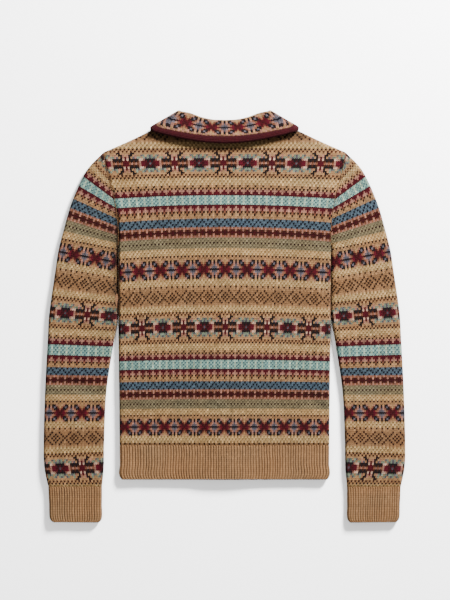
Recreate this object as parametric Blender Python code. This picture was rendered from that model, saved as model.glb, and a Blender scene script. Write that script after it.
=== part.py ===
"""A shawl-collared cardigan in banded colour knitting, laid flat on its front.

Metres, +Z up.  The collar points to +Y, the hem to -Y, and the back faces up.  The fronts, hems,
sleeves and cuffs lie on z = 0.  The wearer's left is at -X.
"""
import math

import bmesh
import bpy
import numpy as np

# ---- driving sizes -------------------------------------------------------------------------
WALL = 0.0026           # thickness of the knitted cloth, floats and all
SEAM = 0.0003           # gap between pieces at a seam
LIE = 0.0089            # height of the back's upper surface above the floor
LAPEL_LIFT = 0.0029     # the fronts lie this high where a lapel is under them
HEM_TOP = -0.2095       # where the back meets its ribbed hem
HEM_END = -0.2657
HEM_CORNER = 0.0033     # the hem's lower corners turn in by this
BREAK = 0.150           # height where the neck's V starts
BAND_WIDTH = 0.030
BAND_FLAT = 0.017       # the fronts lie level with their bands this far from the centre
BAND_FADE = 0.085       # and reach the floor this far from it
BREAK_FADE = 0.026      # above the break the fronts settle on the lapels over this height
BUTTON_THICK = 0.0025
BUTTON_RADIUS = 0.0095
BUTTON_HEIGHTS = (0.130, 0.040, -0.050, -0.140, -0.235)
RIB_PITCH = 0.0044
RIB_HEIGHT = 0.0007
CROWN = 0.0030          # how far the overlapped bands lift the middle of the back
CROWN_SPREAD = 0.046
CROWN_FADE = 0.060      # above the break, over this height
TRIM_WIDTH = 0.0100

RIGHT_LIFT = BUTTON_THICK + SEAM
LEFT_LIFT = RIGHT_LIFT + WALL + SEAM
MID_COLLAR = (LIE + LAPEL_LIFT) / 2     # middle of the layers at the neck
FALL_TOP = 0.0058       # the fall's middle above MID_COLLAR on the back
FALL_SIDE = 0.0055      # and out from the fold at the side of the neck
FALL_UNDER = MID_COLLAR - WALL / 2      # and below it on the fronts
STAND_OFF = LIE - WALL / 2 - MID_COLLAR

# Half of the body's outline, hem to shoulder tip: side seam, then armhole seam.
SIDE = {
    "y": (HEM_TOP, -0.1360, -0.0220, 0.0600, 0.1133, 0.1410, 0.1932, 0.2469, 0.2681),
    "x": (0.1710, 0.1716, 0.1730, 0.1735, 0.1736, 0.1732, 0.1798, 0.1936, 0.1972),
}
UNDERARM = 0.1133
SHOULDER_TIP = 0.2681
NECK_POINT = (0.0840, 0.3220)
NECK_DROP = 0.0330      # the back neck falls this far at the centre
NECK_ROUND = 2.4        # power of the back neck's curve
SHOULDER_SAG = 0.0017
NECK_FADE = 0.012       # the shoulder's fold opens out over this width beside the neck
SIDE_FADE = 0.014       # and the side's fold over this height below the armhole
SHOULDER_STEEP = 1.12   # a length up the cloth for one square to the shoulder seam

# The V edge of a front, and the lapel's outer reach for the cloth that lies over it.
V_EDGE = {
    "y": (BREAK, 0.1580, 0.1960, 0.2320, 0.2660, 0.3000, 0.3220),
    "x": (0.0153, 0.0160, 0.0310, 0.0470, 0.0620, 0.0760, 0.0840),
}
LAPEL_REACH = {
    "y": (0.110, 0.130, 0.152, 0.180, 0.212, 0.246, 0.276, 0.302),
    "x": (-0.030, 0.020, 0.060, 0.102, 0.134, 0.153, 0.160, 0.158),
}
REACH_FADE = 0.020      # inside that reach the front comes down to the floor over this width

# Half of a sleeve, cuff to armhole: the outer fold and the inner fold, one column for each row.
SLEEVE = {
    "t": (0.00, 0.06, 0.16, 0.28, 0.40, 0.50, 0.60, 0.68, 0.76, 0.84, 0.92, 1.00),
    "outer x": (0.2876, 0.2934, 0.2950, 0.2926, 0.2884, 0.2855, 0.2755, 0.2712, 0.2635, 0.2490,
                0.2255, 0.1978),
    "outer y": (-0.2776, -0.2500, -0.2050, -0.1200, -0.0400, 0.0075, 0.0774, 0.1060, 0.1370,
                0.1860, 0.2370, 0.2676),
    "inner x": (0.2002, 0.1976, 0.1967, 0.1930, 0.1813, 0.1743, 0.1741, 0.1742, 0.1743, 0.1743,
                0.1744, 0.1745),
    "inner y": (-0.2776, -0.2500, -0.2040, -0.1225, -0.0430, -0.0005, 0.0611, 0.0882, 0.1000,
                0.1080, 0.1115, 0.1130),
}
FAN_START = 0.60        # above this share of the sleeve its rows bend towards the armhole
CUFF = {
    "t": (0.00, 0.45, 0.88, 1.00),
    "outer x": (0.2874, 0.2862, 0.2838, 0.2805),
    "outer y": (-0.2779, -0.3050, -0.3318, -0.3352),
    "inner x": (0.2004, 0.2006, 0.2018, 0.2050),
    "inner y": (-0.2779, -0.3050, -0.3322, -0.3358),
}

# The collar from the centre back to the break: the roll, the seam at its foot and its outer edge.
# "turn" is how far the strip has gone round the side of the neck, from the back to the front.
COLLAR = {
    "turn": (0, 0, 0, 0, 0, 36, 72, 108, 144, 180, 180, 180, 180, 180, 180),
    "roll x": (0.0000, 0.0200, 0.0400, 0.0580, 0.0722, 0.0728, 0.0730, 0.0730, 0.0728, 0.0720,
               0.0640, 0.0500, 0.0350, 0.0205, 0.0070),
    "roll y": (0.3172, 0.3182, 0.3227, 0.3289, 0.3302, 0.3300, 0.3298, 0.3293, 0.3285, 0.3268,
               0.3050, 0.2690, 0.2330, 0.1970, 0.1600),
    "foot x": (0.0000, 0.0200, 0.0410, 0.0620, 0.0800, 0.0812, 0.0816, 0.0818, 0.0816, 0.0805,
               0.0745, 0.0607, 0.0456, 0.0297, 0.0132),
    "foot y": (0.2893, 0.2904, 0.2952, 0.3054, 0.3205, 0.3232, 0.3240, 0.3240, 0.3232, 0.3205,
               0.3005, 0.2664, 0.2324, 0.1960, 0.1606),
    "edge x": (0.0000, 0.0330, 0.0620, 0.0930, 0.1160, 0.1178, 0.1182, 0.1186, 0.1192, 0.1205,
               0.1260, 0.1190, 0.0980, 0.0660, 0.0270),
    "edge y": (0.2815, 0.2836, 0.2880, 0.2948, 0.3010, 0.3028, 0.3028, 0.3022, 0.3006, 0.2960,
               0.2740, 0.2440, 0.2110, 0.1790, 0.1560),
}
TRIM_HALF = {"turn": (0, 90, 180), "half": (0.0025, 0.0014, 0.0013)}
FALL_OFF = {"turn": (0, 90, 180), "off": (FALL_TOP, FALL_SIDE, FALL_UNDER)}

# The largest folds: soft troughs along a line, with half-width and depth.
TROUGHS = (
    {"from": (0.148, 0.120), "to": (0.085, 0.060), "wide": 0.011, "deep": 0.0009},
    {"from": (-0.146, 0.104), "to": (-0.070, 0.030), "wide": 0.012, "deep": 0.0010},
    {"from": (0.145, -0.036), "to": (0.090, -0.075), "wide": 0.012, "deep": 0.0007},
    {"from": (-0.142, -0.094), "to": (-0.075, -0.140), "wide": 0.012, "deep": 0.0007},
    {"from": (0.178, 0.225), "to": (0.120, 0.190), "wide": 0.010, "deep": 0.0008},
    {"from": (-0.178, 0.215), "to": (-0.110, 0.170), "wide": 0.011, "deep": 0.0009},
    {"from": (0.195, 0.120), "to": (0.245, 0.030), "wide": 0.010, "deep": 0.0011},
    {"from": (-0.195, 0.130), "to": (-0.240, 0.050), "wide": 0.010, "deep": 0.0011},
    {"from": (0.200, -0.020), "to": (0.270, 0.010), "wide": 0.009, "deep": 0.0010},
    {"from": (-0.205, -0.035), "to": (-0.268, -0.005), "wide": 0.009, "deep": 0.0010},
    {"from": (0.215, -0.150), "to": (0.280, -0.120), "wide": 0.010, "deep": 0.0008},
    {"from": (-0.212, -0.120), "to": (-0.282, -0.100), "wide": 0.010, "deep": 0.0009},
    {"from": (0.215, 0.215), "to": (0.238, 0.130), "wide": 0.009, "deep": 0.0008},
    {"from": (-0.215, 0.205), "to": (-0.240, 0.120), "wide": 0.009, "deep": 0.0008},
)

# ---- how finely each piece is divided --------------------------------------------------------
RIM_STEPS = 3
BACK_COLUMNS = 20
BACK_ROWS = 18
FRONT_COLUMNS = 8
FRONT_ROWS = 16
SLEEVE_ROWS = 18
SLEEVE_TOP_CELLS = 8
SLEEVE_UNDER_CELLS = 5
CUFF_UNDER_CELLS = 8
HEM_FRONT_COLUMNS = 10
BAND_ROWS = 12
LAPEL_CELLS = 5
ROLL_CELLS = 4
STAND_CELLS = 2
BUTTON_SIDES = 16


# ---- small tools -----------------------------------------------------------------------------
def read(table, column, along, at):
    """A table's column, read smoothly at any place along another column."""
    places = np.array(table[along], float)
    values = np.array(table[column], float)
    slopes = np.gradient(values, places)
    at = np.clip(at, places[0], places[-1])
    i = np.clip(np.searchsorted(places, at) - 1, 0, len(places) - 2)
    width = places[i + 1] - places[i]
    t = (at - places[i]) / width
    rise = values[i + 1] - values[i]
    start = slopes[i] * width
    end = slopes[i + 1] * width
    return values[i] + t * (start + t * (3 * rise - 2 * start - end + t * (start + end - 2 * rise)))


def ease(t):
    t = np.clip(t, 0.0, 1.0)
    return t * t * (3 - 2 * t)


def mix(a, b, t):
    return a + (b - a) * t


def finish(obj_name, mesh, finish_of):
    """Give a closed mesh its outward faces, its smooth shading, its material and its place."""
    shape = bmesh.new()
    shape.from_mesh(mesh)
    bmesh.ops.recalc_face_normals(shape, faces=shape.faces)
    shape.to_mesh(mesh)
    shape.free()
    mesh.shade_smooth()
    mesh.set_sharp_from_angle(angle=math.radians(50))
    mesh.materials.append(finish_of)
    piece = bpy.data.objects.new(obj_name, mesh)
    bpy.context.scene.collection.objects.link(piece)
    return piece


def wall(name, outer, inner, material, ring=False):
    """A closed wall between two grids of points (rows, columns, 3); a ring's columns join up."""
    rows, columns = outer.shape[:2]
    points = np.concatenate([outer.reshape(-1, 3), inner.reshape(-1, 3)])
    count = rows * columns
    faces = []

    def at(r, c, layer):
        return layer * count + r * columns + c % columns

    across = columns if ring else columns - 1
    for r in range(rows - 1):
        for c in range(across):
            faces.append((at(r, c, 0), at(r, c + 1, 0), at(r + 1, c + 1, 0), at(r + 1, c, 0)))
            faces.append((at(r, c, 1), at(r + 1, c, 1), at(r + 1, c + 1, 1), at(r, c + 1, 1)))
    for c in range(across):
        for r in (0, rows - 1):
            faces.append((at(r, c, 0), at(r, c, 1), at(r, c + 1, 1), at(r, c + 1, 0)))
    if not ring:
        for r in range(rows - 1):
            for c in (0, columns - 1):
                faces.append((at(r, c, 0), at(r, c, 1), at(r + 1, c, 1), at(r + 1, c, 0)))
    mesh = bpy.data.meshes.new(name)
    mesh.from_pydata(points.tolist(), [], faces)
    return finish(name, mesh, material)


def knit(name, colour, roughness=0.9):
    material = bpy.data.materials.new(name)
    material.use_nodes = True
    shader = material.node_tree.nodes["Principled BSDF"]
    shader.inputs["Base Color"].default_value = (*colour, 1.0)
    shader.inputs["Roughness"].default_value = roughness
    shader.inputs["Metallic"].default_value = 0.0
    return material


# ---- the heights at which the cloth lies -------------------------------------------------------
def trough(x, y):
    depth = np.zeros(np.shape(x))
    for fold in TROUGHS:
        start = np.array(fold["from"])
        run = np.array(fold["to"]) - start
        along = ((x - start[0]) * run[0] + (y - start[1]) * run[1]) / (run @ run)
        off = np.hypot(x - start[0] - run[0] * np.clip(along, 0, 1),
                       y - start[1] - run[1] * np.clip(along, 0, 1))
        depth = depth + fold["deep"] * np.exp(-(off / fold["wide"]) ** 2) * ease(1.15 - along)
    return depth


def upper(x, y):
    """Height of the garment's upper surface, away from its rounded edges."""
    fade = ease((BREAK + CROWN_FADE - y) / CROWN_FADE)
    crown = CROWN * np.exp(-(x / CROWN_SPREAD) ** 2) * fade
    return LIE + crown - trough(x, y)


def under_lapel(x, y):
    reach = read(LAPEL_REACH, "x", "y", y)
    return LAPEL_LIFT * ease((reach + 0.002 - np.abs(x)) / REACH_FADE)


def lower(x, y):
    """Height of the fronts' lower surface: on the floor, or over lapels, buttons and band."""
    lift = np.where(x < 0, LEFT_LIFT, RIGHT_LIFT)
    beside = ease((BAND_FADE - np.abs(x)) / (BAND_FADE - BAND_FLAT))
    centre = beside * ease((BREAK - y) / BREAK_FADE + 1.1)
    return np.maximum(under_lapel(x, y), lift * centre)


# ---- panels --------------------------------------------------------------------------------------
def rim_fractions(steps):
    return np.arange(steps + 1) / steps


def columns_with_rims(cells, left, right):
    """Column codes from edge to edge: (kind, share), with rim columns where an edge turns down."""
    codes = []
    if left:
        codes += [("left", 1 - k) for k in rim_fractions(RIM_STEPS)[:-1]]
    codes += [("middle", k) for k in np.linspace(0, 1, cells + 1)]
    if right:
        codes += [("right", k) for k in rim_fractions(RIM_STEPS)[1:]]
    return codes


def inset(share, turned, radius, depth):
    """How far inside the edge a rim's point lies; share 1 is the edge itself."""
    angle = share * math.pi / 2
    flat = 1 - share
    return radius * mix(flat, 1 - np.sin(angle), turned) + turned * depth * np.sin(angle)


def drop(share, turned, radius, depth):
    return turned * (1 - np.cos(share * math.pi / 2)) * (radius - depth)


def fold_at(x, y):
    """Radius of the fold at the garment's edge: half of what its two layers and any lapel leave."""
    return float(LIE - under_lapel(x, y)) / 2 - SEAM


def panel(bottom, top, left, right, columns, rows, turned_side, turned_top, height, way, depth):
    """Points of one face of a panel.

    bottom and top give a plan point for a share across, left and right for a share up.  height is
    the face's height; the panel's edges fold down where way is 1, and up where it is -1.
    """
    grid = np.zeros((len(rows), len(columns), 3))
    side_fold = fold_at(*right(0.0))
    for r, (row_kind, row_share) in enumerate(rows):
        for c, (kind, share) in enumerate(columns):
            v = row_share if row_kind == "middle" else 1.0
            for _ in range(2):
                a, b = left(v), right(v)
                width = np.hypot(*(b - a))
                turned = turned_side(v)
                rim = inset(0.0, turned, side_fold, 0.0) / width
                lead = rim if columns[0][0] == "left" else 0.0
                tail = rim if columns[-1][0] == "right" else 0.0
                if kind == "left":
                    u = inset(share, turned, side_fold, depth) / width
                elif kind == "right":
                    u = 1 - inset(share, turned, side_fold, depth) / width
                else:
                    u = mix(lead, 1 - tail, share)
                length = np.hypot(*(top(u) - bottom(u)))
                at_top = turned_top(u)
                top_fold = fold_at(*top(u))
                if row_kind == "top":
                    v = 1 - SHOULDER_STEEP * inset(row_share, at_top, top_fold, depth) / length
                elif rows[-1][0] == "top":
                    v = row_share * (1 - SHOULDER_STEEP * top_fold / length)
            plan = ((1 - v) * bottom(u) + v * top(u) + (1 - u) * left(v) + u * right(v)
                    - (1 - u) * (1 - v) * bottom(0) - u * (1 - v) * bottom(1)
                    - (1 - u) * v * top(0) - u * v * top(1))
            fall = 0.0
            if kind in ("left", "right"):
                fall += drop(share, turned, side_fold, depth)
            if row_kind == "top":
                fall = max(fall, drop(row_share, at_top, top_fold, depth))
            z = height(plan[0], plan[1]) - way * (depth + fall)
            grid[r, c] = (plan[0], plan[1], z)
    return grid


def side_turn(v):
    """1 on the side seam, where the panel folds down, and 0 on the armhole seam."""
    y = mix(HEM_TOP, SHOULDER_TIP, v)
    return float(ease((UNDERARM - y) / SIDE_FADE))


def shoulder_y(x):
    """The shoulder seam, from its tip to the side of the neck."""
    t = (abs(x) - NECK_POINT[0]) / (SIDE["x"][-1] - NECK_POINT[0])
    sag = SHOULDER_SAG * math.sin(math.pi * min(max(t, 0.0), 1.0))
    return mix(NECK_POINT[1], SHOULDER_TIP, t) - sag


def back_top(u):
    x = mix(-SIDE["x"][-1], SIDE["x"][-1], u)
    if abs(x) >= NECK_POINT[0]:
        return np.array((x, shoulder_y(x)))
    dip = 1 - (abs(x) / NECK_POINT[0]) ** NECK_ROUND
    return np.array((x, NECK_POINT[1] - NECK_DROP * dip))


def shoulder_turn(x):
    """1 on the shoulder, where a panel folds over its seam, and 0 at the neck."""
    return float(ease((abs(x) - NECK_POINT[0] + NECK_FADE / 3) / NECK_FADE))


def side_at(sign):
    def place(v):
        y = mix(HEM_TOP, SHOULDER_TIP, v)
        return np.array((sign * float(read(SIDE, "x", "y", y)), y))
    return place


def back_piece(material):
    columns = columns_with_rims(BACK_COLUMNS, True, True)
    rows = [("middle", k) for k in np.linspace(0, 1, BACK_ROWS + 1)]
    rows += [("top", k) for k in rim_fractions(RIM_STEPS)[1:]]

    def face(depth):
        return panel(
            bottom=lambda u: np.array((mix(-SIDE["x"][0], SIDE["x"][0], u), HEM_TOP)),
            top=back_top, left=side_at(-1), right=side_at(1), columns=columns, rows=rows,
            turned_side=side_turn, turned_top=lambda u: shoulder_turn(back_top(u)[0]),
            height=upper, way=1, depth=depth)

    return wall("back", face(0.0), face(WALL), material)


def front_piece(name, sign, material):
    columns = columns_with_rims(FRONT_COLUMNS, False, True)
    rows = [("middle", k) for k in np.linspace(0, 1, FRONT_ROWS + 1)]
    rows += [("top", k) for k in rim_fractions(RIM_STEPS)[1:]]
    side = side_at(1)

    def inner_edge(v):
        y = mix(HEM_TOP, NECK_POINT[1], v)
        x = BAND_WIDTH / 2 + SEAM if y < BREAK else float(read(V_EDGE, "x", "y", y))
        return np.array((x, y))

    def top(u):
        x = mix(NECK_POINT[0], SIDE["x"][-1], u)
        return np.array((x, shoulder_y(x)))

    def face(depth):
        grid = panel(
            bottom=lambda u: np.array((mix(BAND_WIDTH / 2 + SEAM, SIDE["x"][0], u), HEM_TOP)),
            top=top, left=inner_edge, right=side, columns=columns, rows=rows,
            turned_side=side_turn, turned_top=lambda u: shoulder_turn(top(u)[0]),
            height=lambda x, y: lower(sign * x, y), way=-1, depth=depth)
        grid[:, :, 0] *= sign
        return grid

    return wall(name, face(0.0), face(WALL), material)


# ---- sleeves and cuffs -----------------------------------------------------------------------------
def armhole(share):
    """The sleeve's seam at the armhole, from the shoulder tip (0) down to the underarm (1)."""
    y = mix(SHOULDER_TIP, UNDERARM, share)
    return np.array((float(read(SIDE, "x", "y", y)) + 2 * SEAM, y))


def tube_row(table, t, shares, fan):
    """Plan points of one row of a flattened tube, at shares from its outer to its inner fold."""
    a = np.array((float(read(table, "outer x", "t", t)), float(read(table, "outer y", "t", t))))
    b = np.array((float(read(table, "inner x", "t", t)), float(read(table, "inner y", "t", t))))
    points = [mix(a, b, s) for s in shares]
    if fan:
        pull = float(np.clip((t - FAN_START) / (1 - FAN_START), 0, 1)) ** 2
        tip, pit = armhole(0.0), armhole(1.0)
        points = [p + pull * (armhole(s) - mix(tip, pit, s)) for p, s in zip(points, shares)]
    return np.array(points), float(np.hypot(*(b - a)))


def tube_ring(width, radius, depth, top_cells, under_cells, rib=0.0):
    """A flattened ring as (share across, height) pairs; ribs are raised on its upper outer points."""
    pairs = []
    inner = radius - depth
    edge = radius / width
    for k in range(top_cells + 1):
        lift = rib if rib and k % 2 else 0.0
        pairs.append((mix(edge, 1 - edge, k / top_cells), radius + inner + lift))
    for k in range(1, 2 * RIM_STEPS):
        angle = math.pi * k / (2 * RIM_STEPS)
        pairs.append((1 - edge + inner / width * math.sin(angle), radius + inner * math.cos(angle)))
    for k in range(under_cells + 1):
        pairs.append((mix(1 - edge, edge, k / under_cells), radius - inner))
    for k in range(1, 2 * RIM_STEPS):
        angle = math.pi * k / (2 * RIM_STEPS)
        pairs.append((edge - inner / width * math.sin(angle), radius - inner * math.cos(angle)))
    return pairs


def tube(name, table, sign, rows, top_cells, under_cells, material, fan=False, rib=0.0):
    faces = []
    for depth in (0.0, WALL):
        grid = []
        for t in rows:
            width = tube_row(table, t, (0.5,), fan)[1]
            raised = rib if depth == 0.0 else 0.0
            ring = tube_ring(width, LIE / 2, depth, top_cells, under_cells, raised)
            plan = tube_row(table, t, [pair[0] for pair in ring], fan)[0]
            heights = np.array([pair[1] for pair in ring])
            sag = upper(sign * plan[:, 0], plan[:, 1]) - LIE
            heights = heights + sag * ease((heights - LIE / 2) / (LIE / 2 - WALL))
            plan[:, 0] *= sign
            grid.append(np.column_stack([plan, heights]))
        faces.append(np.array(grid))
    return wall(name, faces[0], faces[1], material, ring=True)


# ---- hems, bands and buttons -----------------------------------------------------------------------
HEM_ROWS = {"y": (HEM_TOP - SEAM, -0.2400, -0.2620, HEM_END), "in": (0, 0.0004, 0.0008, HEM_CORNER)}


def hem_back(material):
    half = SIDE["x"][0]
    radius = fold_at(half, HEM_TOP)
    ribs = round(2 * (half - radius) / RIB_PITCH)
    faces = []
    for depth in (0.0, WALL):
        grid = []
        for y, pulled in zip(HEM_ROWS["y"], HEM_ROWS["in"]):
            edge = half - pulled
            row = []
            for k in range(RIM_STEPS):
                share = 1 - k / RIM_STEPS
                x = edge - inset(share, 1.0, radius, depth)
                row.append((-x, LIE - depth - drop(share, 1.0, radius, depth)))
            for k in range(2 * ribs + 1):
                x = mix(-edge + radius, edge - radius, k / (2 * ribs))
                lift = RIB_HEIGHT if k % 2 and depth == 0.0 else 0.0
                row.append((x, upper(x, y) - depth + lift))
            for k in range(1, RIM_STEPS + 1):
                share = k / RIM_STEPS
                x = edge - inset(share, 1.0, radius, depth)
                row.append((x, LIE - depth - drop(share, 1.0, radius, depth)))
            grid.append([(x, y, z) for x, z in row])
        faces.append(np.array(grid))
    return wall("hem_back", faces[0], faces[1], material)


def hem_front(name, sign, material):
    half = SIDE["x"][0]
    radius = fold_at(half, HEM_TOP)
    start = BAND_WIDTH / 2 + SEAM
    faces = []
    for depth in (0.0, WALL):
        grid = []
        for y, pulled in zip(HEM_ROWS["y"], HEM_ROWS["in"]):
            edge = half - pulled
            row = []
            for k in range(HEM_FRONT_COLUMNS + 1):
                x = mix(start, edge - radius, k / HEM_FRONT_COLUMNS)
                row.append((sign * x, float(lower(sign * x, y)) + depth))
            for k in range(1, RIM_STEPS + 1):
                share = k / RIM_STEPS
                x = edge - inset(share, 1.0, radius, depth)
                row.append((sign * x, depth + drop(share, 1.0, radius, depth)))
            grid.append([(x, y, z) for x, z in row])
        faces.append(np.array(grid))
    return wall(name, faces[0], faces[1], material)


def front_band(name, lift, material):
    half = BAND_WIDTH / 2
    heights = np.linspace(HEM_END, BREAK - SEAM, BAND_ROWS + 1)
    faces = []
    for depth in (0.0, WALL):
        faces.append(np.array([[(x, y, lift + depth) for x in (-half, 0.0, half)] for y in heights]))
    return wall(name, faces[0], faces[1], material)


def button(name, y, material):
    """A turned button: a flat back against the band, a rounded rim and a shallow dish outside."""
    radius, thick = BUTTON_RADIUS, BUTTON_THICK
    profile = (
        (0.0, thick), (0.88 * radius, thick), (radius, 0.62 * thick), (0.97 * radius, 0.22 * thick),
        (0.85 * radius, 0.0), (0.70 * radius, 0.0), (0.60 * radius, 0.25 * thick),
        (0.0, 0.25 * thick),
    )
    shape = bmesh.new()
    rings = []
    for r, z in profile:
        if r == 0.0:
            rings.append([shape.verts.new((0.0, y, z))])
            continue
        ring = []
        for k in range(BUTTON_SIDES):
            angle = 2 * math.pi * k / BUTTON_SIDES
            ring.append(shape.verts.new((r * math.cos(angle), y + r * math.sin(angle), z)))
        rings.append(ring)
    for a, b in zip(rings, rings[1:]):
        for k in range(BUTTON_SIDES):
            n = (k + 1) % BUTTON_SIDES
            if len(a) == 1:
                shape.faces.new((a[0], b[k], b[n]))
            elif len(b) == 1:
                shape.faces.new((a[k], b[0], a[n]))
            else:
                shape.faces.new((a[k], b[k], b[n], a[n]))
    mesh = bpy.data.meshes.new(name)
    shape.to_mesh(mesh)
    shape.free()
    return finish(name, mesh, material)


# ---- collar -------------------------------------------------------------------------------------------
def collar_sections():
    """Every section of the collar, from the left break round the back neck to the right one."""
    half = [
        {key: values[i] for key, values in COLLAR.items()} for i in range(len(COLLAR["turn"]))
    ]
    sections = [dict(row, side=-1) for row in reversed(half[1:])]
    return sections + [dict(row, side=1) for row in half]


def collar_frame(section):
    """Plan points and the direction in which the layers are stacked at one section."""
    side = section["side"]
    roll = np.array((side * section["roll x"], section["roll y"], MID_COLLAR))
    foot = np.array((side * section["foot x"], section["foot y"], MID_COLLAR))
    edge = np.array((side * section["edge x"], section["edge y"], MID_COLLAR))
    out = edge - roll
    out = out / np.linalg.norm(out)
    turn = math.radians(section["turn"])
    aside = np.array((-out[1] * side, out[0] * side, 0.0))
    layer = aside * math.sin(turn) + np.array((0.0, 0.0, math.cos(turn)))
    return roll, foot, edge, out, layer


def collar_piece(material):
    faces = []
    for depth in (-WALL / 2, WALL / 2):
        grid = []
        for section in collar_sections():
            roll, foot, edge, out, layer = collar_frame(section)
            fall = float(np.interp(section["turn"], FALL_OFF["turn"], FALL_OFF["off"]))
            fall_end = edge - out * (TRIM_WIDTH + SEAM)
            row = []
            for k in range(STAND_CELLS):
                row.append(mix(foot, roll, k / STAND_CELLS) + layer * (STAND_OFF + depth))
            middle = (fall + STAND_OFF) / 2
            bend = (fall - STAND_OFF) / 2 - depth
            for k in range(ROLL_CELLS + 1):
                angle = math.pi * k / ROLL_CELLS
                row.append(roll - out * (bend * math.sin(angle))
                           + layer * (middle - bend * math.cos(angle)))
            for k in range(1, LAPEL_CELLS + 1):
                row.append(mix(roll, fall_end, k / LAPEL_CELLS) + layer * (fall - depth))
            grid.append(row)
        faces.append(np.array(grid))
    return wall("collar", faces[0], faces[1], material)


def collar_trim(material):
    """The dark border: a flat rounded roll along the collar's outer edge."""
    corners = ((-1.0, 0.0), (-0.72, 0.72), (0.35, 1.0), (1.0, 0.45), (1.0, -0.45), (0.35, -1.0),
               (-0.72, -0.72))
    shape = bmesh.new()
    rings = []
    for section in collar_sections():
        edge, out, layer = collar_frame(section)[2:]
        off = float(np.interp(section["turn"], FALL_OFF["turn"], FALL_OFF["off"]))
        half = float(np.interp(section["turn"], TRIM_HALF["turn"], TRIM_HALF["half"]))
        centre = edge - out * (TRIM_WIDTH / 2) + layer * off
        ring = []
        for a, b in corners:
            ring.append(shape.verts.new(centre + out * (a * TRIM_WIDTH / 2) + layer * (b * half)))
        rings.append(ring)
    count = len(corners)
    for a, b in zip(rings, rings[1:]):
        for k in range(count):
            n = (k + 1) % count
            shape.faces.new((a[k], a[n], b[n], b[k]))
    shape.faces.new(rings[0])
    shape.faces.new(rings[-1])
    mesh = bpy.data.meshes.new("collar_trim")
    shape.to_mesh(mesh)
    shape.free()
    return finish("collar_trim", mesh, material)


# ---- the garment -----------------------------------------------------------------------------
def build():
    for old in list(bpy.data.objects):
        bpy.data.objects.remove(old)
    banded = knit("banded_knit", (0.36, 0.22, 0.13))
    ribbed = knit("camel_rib", (0.33, 0.20, 0.10))
    border = knit("dark_red_border", (0.09, 0.015, 0.025))
    horn = knit("horn_button", (0.10, 0.05, 0.03), roughness=0.35)

    back_piece(banded)
    front_piece("front_left", -1, banded)
    front_piece("front_right", 1, banded)
    sleeve_rows = np.linspace(0, 1, SLEEVE_ROWS + 1)
    cuff_ribs = round((CUFF["outer x"][0] - CUFF["inner x"][0] - LIE) / RIB_PITCH)
    for side, sign in (("left", -1), ("right", 1)):
        tube(f"sleeve_{side}", SLEEVE, sign, sleeve_rows, SLEEVE_TOP_CELLS, SLEEVE_UNDER_CELLS,
             banded, fan=True)
        tube(f"cuff_{side}", CUFF, sign, CUFF["t"], 2 * cuff_ribs, CUFF_UNDER_CELLS, ribbed,
             rib=RIB_HEIGHT)
        hem_front(f"hem_front_{side}", sign, ribbed)
    hem_back(ribbed)
    front_band("band_left", LEFT_LIFT, ribbed)
    front_band("band_right", RIGHT_LIFT, ribbed)
    for number, height in enumerate(BUTTON_HEIGHTS, start=1):
        button(f"button_{number}", height, horn)
    collar_piece(banded)
    collar_trim(border)


build()
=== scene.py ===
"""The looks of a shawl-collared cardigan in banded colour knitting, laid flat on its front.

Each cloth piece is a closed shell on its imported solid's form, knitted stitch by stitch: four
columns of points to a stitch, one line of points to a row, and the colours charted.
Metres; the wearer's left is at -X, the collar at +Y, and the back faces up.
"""
import math

import bpy
import mathutils
import numpy as np
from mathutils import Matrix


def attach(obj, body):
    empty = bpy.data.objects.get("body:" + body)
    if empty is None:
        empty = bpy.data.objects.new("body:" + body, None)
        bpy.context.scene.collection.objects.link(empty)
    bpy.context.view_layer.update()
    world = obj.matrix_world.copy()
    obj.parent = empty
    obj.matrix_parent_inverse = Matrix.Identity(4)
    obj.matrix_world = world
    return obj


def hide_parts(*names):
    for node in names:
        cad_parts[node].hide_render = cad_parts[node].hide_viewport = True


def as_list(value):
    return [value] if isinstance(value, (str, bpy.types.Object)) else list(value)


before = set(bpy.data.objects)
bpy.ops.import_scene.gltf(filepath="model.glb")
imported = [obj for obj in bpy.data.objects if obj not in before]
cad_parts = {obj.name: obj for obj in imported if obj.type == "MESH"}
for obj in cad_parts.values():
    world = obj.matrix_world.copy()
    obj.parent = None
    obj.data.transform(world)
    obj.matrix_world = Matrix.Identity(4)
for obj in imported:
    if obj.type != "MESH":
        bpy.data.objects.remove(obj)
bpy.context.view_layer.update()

# ---- the garment's sizes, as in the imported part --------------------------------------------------
WALL = 0.0026
SEAM = 0.0003
LIE = 0.0089
LAPEL_LIFT = 0.0029
HEM_TOP = -0.2095
HEM_END = -0.2657
HEM_CORNER = 0.0033
BREAK = 0.15
BAND_WIDTH = 0.03
BAND_FLAT = 0.017
BAND_FADE = 0.085
BREAK_FADE = 0.026
BUTTON_THICK = 0.0025
BUTTON_RADIUS = 0.0095
BUTTONHOLE = (0.0011, 0.0112)           # half its width and height
THREAD_RADIUS = 0.00034
SHANK_RADIUS = 0.0013
BUTTON_HEIGHTS = (0.13, 0.04, -0.05, -0.14, -0.235)
CROWN = 0.003
CROWN_SPREAD = 0.046
CROWN_FADE = 0.06
TRIM_WIDTH = 0.01
TRIM_HALF = (0.0025, 0.0014, 0.0013)    # half its thickness on the back, at the turn, on the fronts
TRIM_END = 0.0042           # the border is rounded off over this way at its ends
RIGHT_LIFT = BUTTON_THICK + SEAM
LEFT_LIFT = RIGHT_LIFT + WALL + SEAM
MID_COLLAR = (LIE + LAPEL_LIFT) / 2
FLARE = 0.0042
FALL_TOP = 0.0058
FALL_SIDE = 0.0055
FALL_UNDER = MID_COLLAR - WALL / 2
STAND_OFF = LIE - WALL / 2 - MID_COLLAR
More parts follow.
